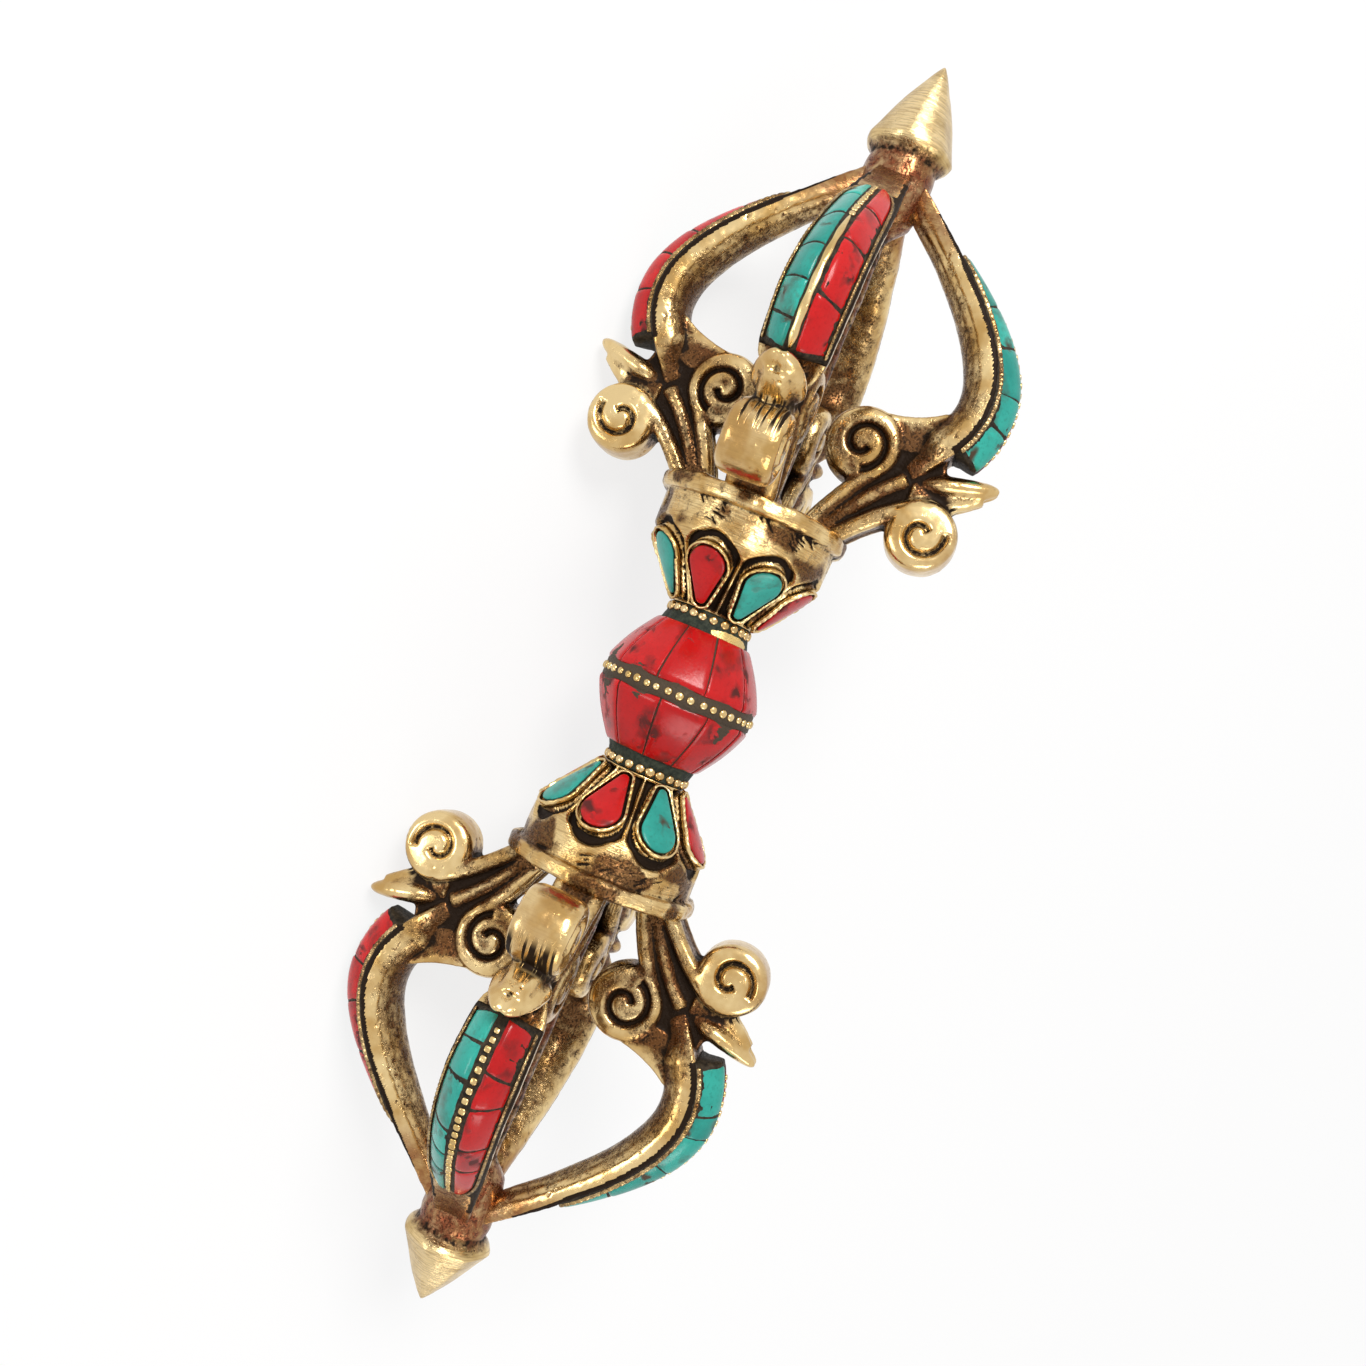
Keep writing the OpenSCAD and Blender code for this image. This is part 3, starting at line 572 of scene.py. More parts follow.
def spoke_bar():
    """The bar under the inlay: flat on its seat, round behind and drawn in at its root."""
    angle = np.linspace(0, math.pi, 18)
    rings = []
    for u in np.linspace(0, 1.04, 70):
        root_share = lerp(0.62, 1, smoothstep(0, 0.13, u))
        half, depth = (spoke_half(u) + 0.1) * root_share, spoke_depth(u) * root_share
        t = np.concatenate(([half, half], half * np.cos(angle), [-half, -half]))
        belly = -0.2 * depth - 0.8 * depth * np.sin(angle) ** 0.85
        n = np.concatenate(([0.25, -0.2 * depth], belly, [-0.2 * depth, 0.25]))
        rings.append(on_spoke(u, t, n))
    return skin(rings)


def prong_form():
    """The head and spoke as overlapping rough parts."""
    parts = [barrel(SCROLL, SCROLL_R, SCROLL_HALF), barrel(VOLUTE, VOLUTE_R, VOLUTE_HALF)]
    on_scroll = polar(SCROLL, SCROLL_R - STEM_SINK, SCROLL_MEET)
    on_volute = polar(VOLUTE, VOLUTE_R - STEM_SINK, VOLUTE_MEET)
    meets = (on_scroll, SNOUT_ROOT, on_volute)
    stems = [stem_line(foot_r, meet, way, reach) for (foot_r, way, reach, _, _), meet in zip(STEMS, meets)]
    for side in (-1, 1):
        for line, (_, _, _, radius, t) in zip(stems, STEMS):
            parts.append(tube(across(line, side * t), radius))
    scroll_stem, _, volute_stem = stems
    parts.append(tube(across(scroll_stem, 0), WEB_R, WEB_SIDES, WEB_SQUASH))
    at, way = bezier(SPOKE, np.array((0.0, 0.12, 0.24)))
    back = at - spoke_depth(0.12) * np.column_stack((way[:, 1], -way[:, 0]))
    front = bezier(SNOUT, 0.4)[0][0]
    corners = [SCROLL, front, at[1], back[1], VOLUTE]
    parts.append(plate(np.concatenate((scroll_stem + (-0.3, 0.3), corners, volute_stem[::-1])), HEART_HALF))
    places = np.linspace(0, 1, 14)
    jaw = across(bezier(JAW, places)[0], 0)
    parts.append(tube(jaw, lerp(*JAW_RADII, places), WEB_SIDES, JAW_SQUASH))
    fillet = (VOLUTE + (0.6, VOLUTE_R - 0.3), VOLUTE + (5.4, VOLUTE_R + 0.2), back[2] + (0.3, 0))
    curve = bezier(fillet, np.linspace(0, 1, 12))[0]
    parts.append(plate(np.concatenate((curve, [at[1], VOLUTE])), FILLET_HALF))
    return joined(parts + [snout_leaf(), spoke_bar()])


def spiral_gap(points, c, radius, start, turns):
    """Distance from each point to a spiral that winds inward, seen from the side, and to its centre."""
    d = points[:, (0, 2)] - c
    rho = np.hypot(d[:, 0], d[:, 1])
    swing = (np.degrees(np.arctan2(d[:, 1], d[:, 0])) - start) * np.sign(turns) % 360
    best = np.full(len(points), FAR_OFF)
    for k in range(2):
        share = (swing + 360 * k) / (360 * abs(turns))
        best = np.where(share <= 1, np.minimum(best, np.abs(rho - radius * lerp(1, 0.25, share))), best)
    return best, rho


def prong_casting():
    """The casting's skin with its grooves, and how hollow it is at each point, close by and more widely.
    The wider hollowness is used to paint shade into the broad recesses.
    """
    voxel = FINE_VOXEL
    verts, faces = remeshed(*prong_form(), voxel)
    edges = edges_of(faces)
    wider = (COARSE_VOXEL / voxel) ** 2
    near, middling, far = (round(steps * wider) for steps in (8, 70, 320))
    verts = smoothed(verts, edges, round(3 * wider))
    normals = normals_of(verts, faces)
    side = smoothstep(0.35, 0.8, np.abs(normals[:, 1]))
    push = np.zeros(len(verts))
    for c, radius, half, start, turns in SPIRALS:
        gap, rho = spiral_gap(verts, c, radius - 1.5, start, turns)
        mine = side * smoothstep(half - 1.3, half - 0.7, np.abs(verts[:, 1])) * (rho < radius)
        push += mine * (0.4 * (1 - (rho / radius) ** 2) - GROOVE_DEPTH * bell(gap, GROOVE_W))
    r, t, a = verts.T
    clear = np.hypot(r - SCROLL[0], a - SCROLL[1])
    on_snout = smoothstep(20.5, 22, r) * smoothstep(4.9, 5.5, clear) * (a < RIM_FACE + 14.5)
    push -= CREASE_DEPTH * on_snout * bell(t, CREASE_W)
    push += 0.07 * rough(verts, 3.5, 3, 1) + 0.016 * rough(verts, 0.9, 9)
    push -= 0.14 * smoothstep(0.5, 0.85, noise(verts, 0.5, 21)) * smoothstep(0.0, 0.5, noise(verts, 2.6, 5))
    verts = verts + push[:, None] * normals
    hollow = hollows(verts, faces, edges, middling) / 0.45 + 0.4 * hollows(verts, faces, edges, near) / 0.09
    # The last value, the widest hollowness, serves as painted shade in broad recesses.
    return verts, faces, hollow, hollows(verts, faces, edges, far) / 1.3


def spoke_places(verts):
    """Place along the spoke, height over its seat and distance in from its edge, nearest to each point."""
    u = np.linspace(INLAY_FROM - 0.03, 0.95, 160)
    at, way = bezier(SPOKE, u)
    gaps = np.hypot(verts[:, None, 0] - at[None, :, 0], verts[:, None, 2] - at[None, :, 1])
    nearest = np.argmin(gaps, axis=1)
    d = verts[:, (0, 2)] - at[nearest]
    n = d[:, 0] * way[nearest, 1] - d[:, 1] * way[nearest, 0]
    place = u[nearest]
    beyond = (nearest == 0) | (nearest == len(u) - 1)
    return place, np.where(beyond, FAR_OFF, n), spoke_half(place) - np.abs(verts[:, 1])


def prong_fields(verts, hollow, broad, side):
    """How filed, warm, hollow, polished and scored a prong is, with painted shade carried in its polish
    field. side is 1 where it faces across, and broad is the wider hollowness; both paint shade.
    """
    r, t, a = verts.T
    rise = a - RIM_FACE
    gap_scroll = np.hypot(r - SCROLL[0], a - SCROLL[1])
    barrel_face = smoothstep(3.4, 4.1, gap_scroll) * smoothstep(5.8, 5.2, gap_scroll) * (np.abs(t) < 3.1)
    filed = np.maximum(0.25 * barrel_face, smoothstep(CAGE - 9, CAGE - 5, rise))
    warm = 0.8 * smoothstep(CAGE - 12, CAGE - 5, rise) + 0.2 * smoothstep(0.1, 0.5, noise(verts, 6, 4))
    on_scroll = smoothstep(5.6, 4.6, gap_scroll) * smoothstep(15.2, 17.5, r)
    on_snout = smoothstep(20.5, 22.5, r) * smoothstep(14.5, 13.0, rise)
    proud = np.maximum(on_scroll, on_snout)
    heart = bell(np.hypot(r - 15.0, rise - 9.0), 3.4)
    stem = smoothstep(14, 11, r) * smoothstep(9, 4, rise) * smoothstep(2.6, 2.0, np.abs(t))
    place, n, edge = spoke_places(verts)
    under = (edge > -0.02) & (place < INLAY_TO + 0.01) & (n > 0.05) & (n < 0.8)
    beside = (edge < 0.5) & (n > -0.45 * smoothstep(0.97, 0.8, place)) & (n < 0.8)
    grime = np.clip(hollow + 0.55 * heart + 0.3 * stem, 0, 1) * (1 - 0.35 * proud)
    inner = smoothstep(-1.2, -2.4, n) * (n > -6)
    head = smoothstep(17, 14, rise)
    # Painted shade is part of this: besides real polish on proud parts and crests, the polish is lowered in
    # broad recesses, over the head where it does not stand out, and most on the head's sides that face
    # across, so that these brown as if shaded.
    polish_and_shade = 0.8 * proud + 1.4 * np.clip(-hollow, 0, 1) - 1.1 * np.clip(broad, 0, 1) - 0.45 * inner
    polish_and_shade -= 0.2 + head * (0.7 * (1 - proud) + 0.35 * side)
    bearing = np.degrees(np.arctan2(a - SCROLL[1], r - SCROLL[0]))
    scored = barrel_face * smoothstep(0, 25, bearing) * smoothstep(115, 95, bearing)
    return {"filed": filed, "warm": warm, "hollow": np.where(under | beside, 1.0, grime),
            "polish_and_shade": np.clip(polish_and_shade, -1, 1), "scored": scored}


# Stones

SKIRT = 0.7
EDGE_SOFT = 0.16
EDGE_DEPTH = 0.3


def stone_skin(grid, turned):
    """A closed stone: a grid of points over its face and down its sides, and one face below."""
    verts, faces = skin(grid, closed=False, caps=False)
    n, m = np.shape(grid)[:2]
    at = np.arange(n * m).reshape(n, m)
    faces.append(np.concatenate((at[0], at[1:, -1], at[-1, -2::-1], at[-2:0:-1, 0])).tolist())
    return verts, [f[::-1] for f in faces] if turned else faces


def bordered(border, lo, hi, count):
    """Shares from 0 to 1 across a stone, close together where its edge is rounded."""
    border = np.array(border)
    return np.concatenate((border, np.linspace(lo, hi, count), 1 - border[::-1]))


def edge_depth(near, depth):
    """How far a stone's grid lies below its face: its rounded edge, and its sides at the border."""
    skirt = np.zeros_like(near)
    skirt[[0, -1], :] = SKIRT
    skirt[:, [0, -1]] = SKIRT
    return depth * bell(near, EDGE_SOFT), skirt


def stone_set(stones):
    """Stones as one form, with fields for the tone of each and for its edges."""
    form = joined([(v, f) for v, f, _, _ in stones])
    tint = np.concatenate([np.full(len(v), tone) for v, _, tone, _ in stones])
    edge = np.concatenate([np.ravel(depth / EDGE_DEPTH) for _, _, _, depth in stones])
    return form, {"tint": tint, "hollow": edge}


# Inlay

CHIP_BORDER = (0, 0.0, 0.035, 0.09)
BED_SINK = 0.1
TOOTH_PITCH, TOOTH_STEPS = 0.72, 6
RIDGE_PITCH, BEAD_SIDES, BEAD_H = 1.0, 16, 0.22
STRIP_STEPS = 60
# Polish of the two edge wires and of the ridge
WIRE_POLISH = (-0.1, -0.1, 0.9)
WIRE_GRIME = 0.12
# Share of the ridge, from the snout on, where the beads are worn to a strip
PLAIN_RIDGE = {"left_top_front": 0.58}


def inlay_lift(u, v):
    """Height of the stones' face over the spoke's seat, from the ridge at 0 to the edge wire at 1."""
    ridge = crown(u)
    return lerp(ridge - 0.03, EDGE_H, v ** 1.15) + 0.17 * ridge * np.sin(math.pi * v) ** 0.9


def field_half(u):
    """Half width of the stones, drawn in to a round end near the tip."""
    close = np.sqrt(np.clip(1 - np.clip((u - (INLAY_TO - 0.09)) / 0.092, 0, 1) ** 2, 0, 1))
    return CROWN_HALF + (spoke_half(u) - WIRE_W - CROWN_HALF) * (0.12 + 0.88 * close)


def chip_row(side, seed):
    rng = np.random.default_rng(seed)
    count = int(rng.integers(4, 7))
    joints = np.linspace(INLAY_FROM + 0.004, INLAY_TO - 0.004, count + 1)
    pitch = joints[1] - joints[0]
    joints[1:-1] += rng.uniform(-0.3, 0.3, count - 1) * pitch
    slant = rng.uniform(-0.16, 0.16, count + 1) * pitch
    slant[0] = slant[-1] = 0
    gap_u = rng.uniform(0.035, 0.11, count + 1) / SPOKE_LEN
    grid_u, grid_v = bordered(CHIP_BORDER, 0.17, 0.83, 7), bordered(CHIP_BORDER, 0.2, 0.8, 5)
    gu, gv = np.meshgrid(grid_u, grid_v, indexing="ij")
    v = lerp(0.025, 0.975, gv)
    near = np.minimum(np.minimum(gu, 1 - gu) * pitch * SPOKE_LEN, np.minimum(gv, 1 - gv) * 3)
    drop, skirt = edge_depth(near, 0.16)
    stones = []
    for k in range(count):
        from_u = joints[k] + gap_u[k] + slant[k] * (v - 0.5)
        to_u = joints[k + 1] - gap_u[k + 1] + slant[k + 1] * (v - 0.5)
        u = lerp(from_u, to_u, gu).ravel()
        tilt = rng.uniform(-0.07, 0.07, 3)
        lift = tilt[0] * (gu - 0.5) + tilt[1] * (gv - 0.5) + 0.5 * tilt[2] - drop - skirt
        t = side * lerp(CROWN_HALF, field_half(u), v.ravel())
        points = on_spoke(u, t, inlay_lift(u, v.ravel()) + lift.ravel())
        verts, faces = stone_skin(points.reshape(gu.shape + (3,)), side > 0)
        stones.append((verts, faces, rng.uniform(0.1, 0.95), drop + skirt))
    return stone_set(stones)


def bed_form(seed):
    """Cement under and between the stones, run out a little at both ends."""
    steps = np.linspace(INLAY_FROM - 0.022, INLAY_TO + 0.012, 110)
    share = np.linspace(0, 1, 9)
    rings = []
    for u in steps:
        t = lerp(CROWN_HALF, field_half(u), share)
        n = inlay_lift(u, share) - BED_SINK
        end = min(u - steps[0], steps[-1] - u) * SPOKE_LEN
        n = n * (0.35 + 0.65 * smoothstep(0, 0.9, end))
        half = min(spoke_half(u), field_half(u) + WIRE_W + 0.25)
        t = np.concatenate(([half - 0.12, half - 0.1], t[::-1], -t, [0.1 - half, 0.12 - half]))
        n = np.concatenate(([-0.4, 0.3], n[::-1], n, [0.3, -0.4]))
        rings.append(on_spoke(u, t, n))
    return roughened(skin(rings), 0.05, 0.8, seed)


def serrated_wire(side, seed):
    """A flat wire on edge whose top is cut into fine teeth."""
    count = int(INLAY_LEN / TOOTH_PITCH) * TOOTH_STEPS
    steps = np.linspace(INLAY_FROM - 0.005, INLAY_TO, count)
    rng = np.random.default_rng(seed)
    bend = np.interp(steps, np.linspace(0, 1, 14), rng.uniform(-0.1, 0.1, 14))
    tooth = np.abs(np.sin(math.pi * np.arange(count) / TOOTH_STEPS)) ** 0.6
    rings = []
    for u, lean, rise in zip(steps, bend, tooth):
        inner = field_half(u) + 0.05 + 0.3 * lean
        top = EDGE_H + 0.06 + 0.07 * rise + 0.3 * lean
        wide = 0.26 + 0.09 * rise
        t = side * (inner + wide * np.array((0, 0, 0.25, 0.75, 1, 1)))
        n = np.array((-0.2, top - 0.1, top, top, top - 0.1, -0.2))
        rings.append(on_spoke(u, t, n))
    return skin(rings, turned=side > 0)


def stood(form, at, out, along):
    """A form moved so that its z points out of a surface."""
    out = out / np.linalg.norm(out)
    along = np.asarray(along) / np.linalg.norm(along)
    side = np.cross(out, along)
    verts, faces = form
    return verts @ np.array((along, side, out)) + at, faces


def worn_bead(size):
    """A bead rubbed flat and a little square, on the plane z = 0, with a short skirt below it."""
    angle = circle(BEAD_SIDES)
    x, y = (np.sign(w) * np.abs(w) ** 0.62 for w in (np.cos(angle), np.sin(angle)))
    rings = []
    for share, rise in ((1, -0.4), (1, 0), (0.98, 0.5), (0.88, 0.84), (0.7, 1), (0.02, 1.04)):
        z = np.full(BEAD_SIDES, BEAD_H * rise)
        rings.append(np.column_stack((size * share * x, size * share * y, z)))
    return skin(rings, turned=True)


def ridge_strip(from_u, to_u):
    """A plain worn strip along the ridge, in place of its beads."""
    last = STRIP_STEPS - 1
    rings = []
    for k, u in enumerate(np.linspace(from_u, to_u, STRIP_STEPS)):
        wide = lerp(0.52, 0.34, k / last) + 0.05 * math.sin(0.55 * k)
        close = 0.25 + 0.75 * math.sin(math.pi * min(1, max(0.1, min(k, last - k)) / 6) / 2)
        t = wide * close * np.array((-1, -1, -0.7, 0, 0.7, 1, 1))
        n = crown(u) + np.array((-0.3, 0, 0.1, 0.13, 0.1, 0, -0.3))
        rings.append(on_spoke(u, t, n))
    return skin(rings)


def ridge_row(seed, plain):
    """Beads along the ridge, large in the middle. The first share of the row, plain, is a strip."""
    rng = np.random.default_rng(seed)
    count = int(INLAY_LEN / RIDGE_PITCH)
    place = (np.arange(count) + 0.5) / count
    sizes = (0.7 + 0.3 * np.sin(math.pi * place) ** 0.7) * (1 - 0.25 * place ** 3)
    edges = np.concatenate(([0], np.cumsum(sizes))) / sizes.sum()
    fine = np.linspace(INLAY_FROM + 0.01, INLAY_TO - 0.01, 200)
    run = run_of(bezier(SPOKE, fine)[0])
    run /= run[-1]
    parts = [ridge_strip(fine[0], np.interp(plain, run, fine))] if plain else []
    for k in range(count):
        share = (edges[k] + edges[k + 1]) / 2 + rng.uniform(-0.08, 0.08) / count
        u = np.interp(share, run, fine)
        at, way = bezier(SPOKE, u)
        out = np.array((way[0, 1], 0, -way[0, 0]))
        n = crown(u) - 0.06 + rng.uniform(-0.06, 0.03)
        spot = np.array((at[0, 0], rng.uniform(-0.06, 0.06), at[0, 1])) + n * out
        size = rng.uniform(0.4, 0.47) * sizes[k]
        if share > plain + 0.02:
            parts.append(stood(worn_bead(size), spot, out, (way[0, 0], 0, way[0, 1])))
    return joined(parts)


casting, casting_faces, casting_hollow, casting_broad_shade = prong_casting()
casting_normals = normals_of(casting, casting_faces)
for end, end_seed in zip(ENDS, (0, 7)):
    for place, turn in PRONGS.items():
        seed = turn + end_seed
        name = f"{end}_{place}"
        wander = 0.12 * noise(casting + seed * 3.1, 6.0, seed)
        wander += 0.02 * rough(casting + seed * 1.7, 1.2, seed + 40)
        local = casting + wander[:, None] * casting_normals
        # The wide hollowness and the sideways facing paint shade into the prong's polish field.
        fields = prong_fields(local, casting_hollow, casting_broad_shade, np.abs(casting_normals[:, 1]))
        fields["local"] = local + seed
        piece(f"{name}_prong", (local, casting_faces), BRASS, fields, end, turn)
        form = bed_form(seed)
        piece(f"{name}_bed", form, CEMENT, {"local": form[0] + seed}, end, turn)
        for row, side, stone in (("coral", -1, CORAL), ("turquoise", 1, TURQUOISE)):
            form, fields = chip_row(side, seed + 100 * (side + 2))
            piece(f"{name}_{row}", form, stone, {"local": form[0] + seed} | fields, end, turn)
        ridge = ridge_row(seed, PLAIN_RIDGE.get(name, 0.0))
        wires = [serrated_wire(1, seed), serrated_wire(-1, seed + 3), ridge]
        form = joined(wires)
        polish_and_shade = np.concatenate([np.full(len(v), p) for (v, _), p in zip(wires, WIRE_POLISH)])
        fields = brass_fields(form[0] + seed, WIRE_GRIME, polish_and_shade=polish_and_shade)
        piece(f"{name}_wires", form, WIRE, fields, end, turn)


# Round pieces

DOME_SIDES, DOME_ROWS = 12, 4


def turned_form(profile, sides, push=None):
    """A skin turned round the axis from radii and heights, listed upward, pushed along its outward way."""
    way = unit(np.gradient(profile, axis=0))
    out = np.column_stack((way[:, 1], -way[:, 0]))
    rr, aa = np.meshgrid(np.arange(len(profile)), circle(sides), indexing="ij")
    p = profile[rr]
    if push is not None:
        p = p + push[..., None] * out[rr]
    return skin(about_axis(p[..., 0], aa, p[..., 1]), turned=True)


def round_grid(profile, sides):
    """Row, bearing, radius and height over a turned skin, and its points as one list."""
    rr, aa = np.meshgrid(np.arange(len(profile)), circle(sides), indexing="ij")
    r, a = profile[rr, 0], profile[rr, 1]
    return rr, aa, r, a, about_axis(r, aa, a).reshape(-1, 3)


def dome_form(radius, height):
    """A low dome on the plane z = 0, with a short skirt below it."""
    angle = circle(DOME_SIDES)
    levels = [(radius, -0.4 * height)]
    for k in range(DOME_ROWS):
        slope = math.pi / 2 * k / DOME_ROWS
        levels.append((radius * math.cos(slope) ** 0.7, height * math.sin(slope)))
    levels.append((0.02, height))
    return skin([about_axis(r, angle, z) for r, z in levels], turned=True)


def ring_of_domes(count, face_r, at, size, height, seed, skip=0.0):
    """Beads round the axis, with a share of them, skip, lost."""
    rng = np.random.default_rng(seed)
    parts = []
    for k in range(count):
        if rng.uniform() < skip:
            continue
        angle = ROUND * (k + rng.uniform(-0.1, 0.1)) / count
        out = np.array((math.cos(angle), math.sin(angle), 0))
        spot = face_r * out + (0, 0, at + rng.uniform(-0.05, 0.05))
        parts.append(stood(dome_form(size * rng.uniform(0.88, 1.08), height), spot, out, (0, 0, 1)))
    return joined(parts)


# Hub

HUB_HALF, BAND_HALF, HUB_R, HUB_END_R = 8.4, 1.1, 10.4, 6.3
HUB_SWELL = 0.4
HUB_TENON_R, HUB_TENON_TOP = 3.2, 16.4
HUB_BORDER = (0, 0.0, 0.02, 0.06)
SEGMENTS, SEGMENT_TURN, SEGMENT_GAP = 10, math.radians(10), 0.12
BAND_BEADS = 42


def hub_face(s):
    """Radius and height on the coral's face, from the band at 0 to the collar at 1."""
    r = lerp(HUB_R, HUB_END_R, s) + HUB_SWELL * np.sin(math.pi * s) - 0.25 * bell(s, 0.05)
    return r, lerp(BAND_HALF, HUB_HALF, s)


def hub_segments():
    rng = np.random.default_rng(5)
    pitch = ROUND / SEGMENTS
    grid_w, grid_s = bordered(HUB_BORDER, 0.15, 0.85, 9), bordered(HUB_BORDER, 0.12, 0.88, 14)
    w, s = np.meshgrid(grid_w, grid_s, indexing="ij")
    face_r, face_a = hub_face(s)
    gap = SEGMENT_GAP / face_r
    flat = 0.55 * (1 / np.maximum(np.cos((w - 0.5) * pitch), 0.5) - 1 / math.cos(pitch / 2))
    near = np.minimum(np.minimum(w, 1 - w) * pitch * face_r, np.minimum(s, 1 - s) * 8)
    drop, skirt = edge_depth(near, 0.14)
    stones = []
    for side in (0, 1):
        for k in range(SEGMENTS):
            lean = rng.uniform(-0.025, 0.025, 2)
            start = SEGMENT_TURN + pitch * (k + side / 4) + lean[0] * (s - 0.5)
            angle = lerp(start + gap, start + pitch - gap, w)
            tilt = rng.uniform(-0.08, 0.08, 2)
            r = face_r * (1 + flat) - drop - skirt + tilt[0] * (w - 0.5) + 0.5 * tilt[1]
            a = face_a if side == 0 else -face_a
            verts, faces = stone_skin(about_axis(r, angle, a), side == 1)
            stones.append((verts, faces, rng.uniform(0.15, 0.85), drop + skirt))
    return stone_set(stones)


form, fields = hub_segments()
piece("hub_coral", form, CORAL, {"local": form[0]} | fields)

face_r, face_a = hub_face(np.linspace(0, 1, 40))
half_profile = np.concatenate((
    [[HUB_R - 0.42, 0.0], [HUB_R - 0.42, BAND_HALF - 0.05]],
    np.column_stack((face_r - 0.3, face_a)),
    [[HUB_TENON_R, HUB_HALF], [HUB_TENON_R, HUB_TENON_TOP], [0.05, HUB_TENON_TOP]]))
profile = np.concatenate((half_profile[::-1] * (1, -1), half_profile[1:]))
form = roughened(turned_form(profile, 120), 0.03, 0.7, 3)
piece("hub_core", form, HUB_BRASS, brass_fields(form[0], 0.9, warm=0.3, polish_and_shade=-1))

form = ring_of_domes(BAND_BEADS, HUB_R - 0.4, 0, 0.52, 0.3, 11, 0.05)
piece("hub_band_beads", form, WIRE, brass_fields(form[0], polish_and_shade=1))


# Collars

COLLAR_BEADS, COLLAR_BORE, COLLAR_FACE_R = 24, 3.3, 5.35
# Bearing of the bare strip on the left collar, in degrees, its half lengths and its middle over the hub
STRIP_AT, STRIP_SWING, STRIP_H, STRIP_RISE = 178, 34, 0.75, 0.35
COLLAR = ((COLLAR_BORE, HUB_HALF - 0.1), (5.9, HUB_HALF - 0.1), (5.6, HUB_HALF + 0.8),
          (COLLAR_FACE_R, HUB_HALF + 1.6), (5.4, LOTUS_FROM), (COLLAR_BORE, LOTUS_FROM))

for end, seed in zip(ENDS, (50, 51)):
    form = roughened(turned_form(resampled(COLLAR, 0.22), 140), 0.09, 1.3, seed)
    verts = form[0]
    angle = np.degrees(np.arctan2(verts[:, 1], verts[:, 0])) % 360
    swing = np.abs((angle - STRIP_AT + 180) % 360 - 180)
    away = np.hypot(swing / STRIP_SWING, (verts[:, 2] - HUB_HALF - STRIP_RISE) / STRIP_H)
    strip = smoothstep(1.15, 0.7, away) * (end == "left")
    piece(f"{end}_collar", form, COLLAR_CEMENT, {"local": verts + seed, "strip": strip}, end)
    form = ring_of_domes(COLLAR_BEADS, COLLAR_FACE_R, LOTUS_FROM - 0.68, 0.64, 0.42, seed)
    fields = brass_fields(form[0], warm=0.25, polish_and_shade=1)
    piece(f"{end}_collar_beads", form, WIRE, fields, end)


# Lotus cups

PETALS, PETAL_TURN = 8, math.radians(54)
NECK_R, CUP_R, RIM_R, RIM_H, CUP_BAND = 5.3, 11.3, 12.5, 2.3, 4.4
RIM_ROUND, RIM_LOW_ROUND = 0.85, 0.8
RIM_LOW = RIM_FACE - RIM_H
FOOT = np.array((NECK_R, LOTUS_FROM + 0.5))
HEAD = np.array((CUP_R, RIM_LOW - CUP_BAND))
CONE_LEN = np.linalg.norm(HEAD - FOOT)
CONE_WAY = (HEAD - FOOT) / CONE_LEN
CONE_OUT = np.array((CONE_WAY[1], -CONE_WAY[0]))
PETAL_FOOT, PETAL_FOOT_R = 1.25, 0.8
PETAL_HEAD = {"left": 6.5, "right": 6.9}
PETAL_HEAD_R = {"left": 2.45, "right": 2.6}
# A petal stone's rings: share of the outline, and depth below the face
PETAL_RINGS = ((1.0, 0.8), (1.0, 0.2), (0.985, 0.08), (0.95, 0.03), (0.85, 0), (0.65, -0.03), (0.4, -0.05),
               (0.12, -0.06))
PETAL_LIFT, PETAL_POINTS = 0.9, 56
# A bezel's rings: share of the wire's width, and depth below its top
BEZEL_RINGS = ((0, 2), (0, 0.08), (0.25, 0), (0.75, 0), (1, 0.08), (1, 2))
BEZEL_POINTS, BEZEL_TEETH = 150, 24
ARCH_DEPTH, CUT_DEPTH, CUT_W, CUT_BUNCHES = 0.8, 0.3, 0.14, 20


def petal_gap(x, y, end):
    """Signed distance, in the unrolled cone, from a petal's outline: below 0 inside."""
    run = PETAL_HEAD[end] - PETAL_FOOT
    lean = (PETAL_HEAD_R[end] - PETAL_FOOT_R) / run
    share = np.clip((x - PETAL_FOOT + np.abs(y) * lean / math.sqrt(1 - lean ** 2)) / run, 0, 1)
    cx = PETAL_FOOT + share * run
    return np.hypot(x - cx, y) - lerp(PETAL_FOOT_R, PETAL_HEAD_R[end], share)


def on_cone(points, lift, turn):
    """From the unrolled cone to points round the axis."""
    x, y = points.T
    p = FOOT + x[:, None] * CONE_WAY + lift[:, None] * CONE_OUT
    angle = turn + y / (FOOT[0] + x * CONE_WAY[0])
    return about_axis(p[:, 0], angle, p[:, 1])


def petal_ring(grow, count, end):
    """Points round a petal's outline."""
    head_at, head_r, foot_r = PETAL_HEAD[end], PETAL_HEAD_R[end] + grow, PETAL_FOOT_R + grow
    head = math.pi / 2 + math.asin((PETAL_HEAD_R[end] - PETAL_FOOT_R) / (head_at - PETAL_FOOT))
    n = count // 2
    a = np.linspace(-head, head, n)
    b = np.linspace(head, ROUND - head, n)
    x = np.concatenate((head_at + head_r * np.cos(a), PETAL_FOOT + foot_r * np.cos(b)))
    y = np.concatenate((head_r * np.sin(a), foot_r * np.sin(b)))
    closed = np.column_stack((np.append(x, x[0]), np.append(y, y[0])))
    return resampled(closed, steps_of(closed).sum() / count)[:count]


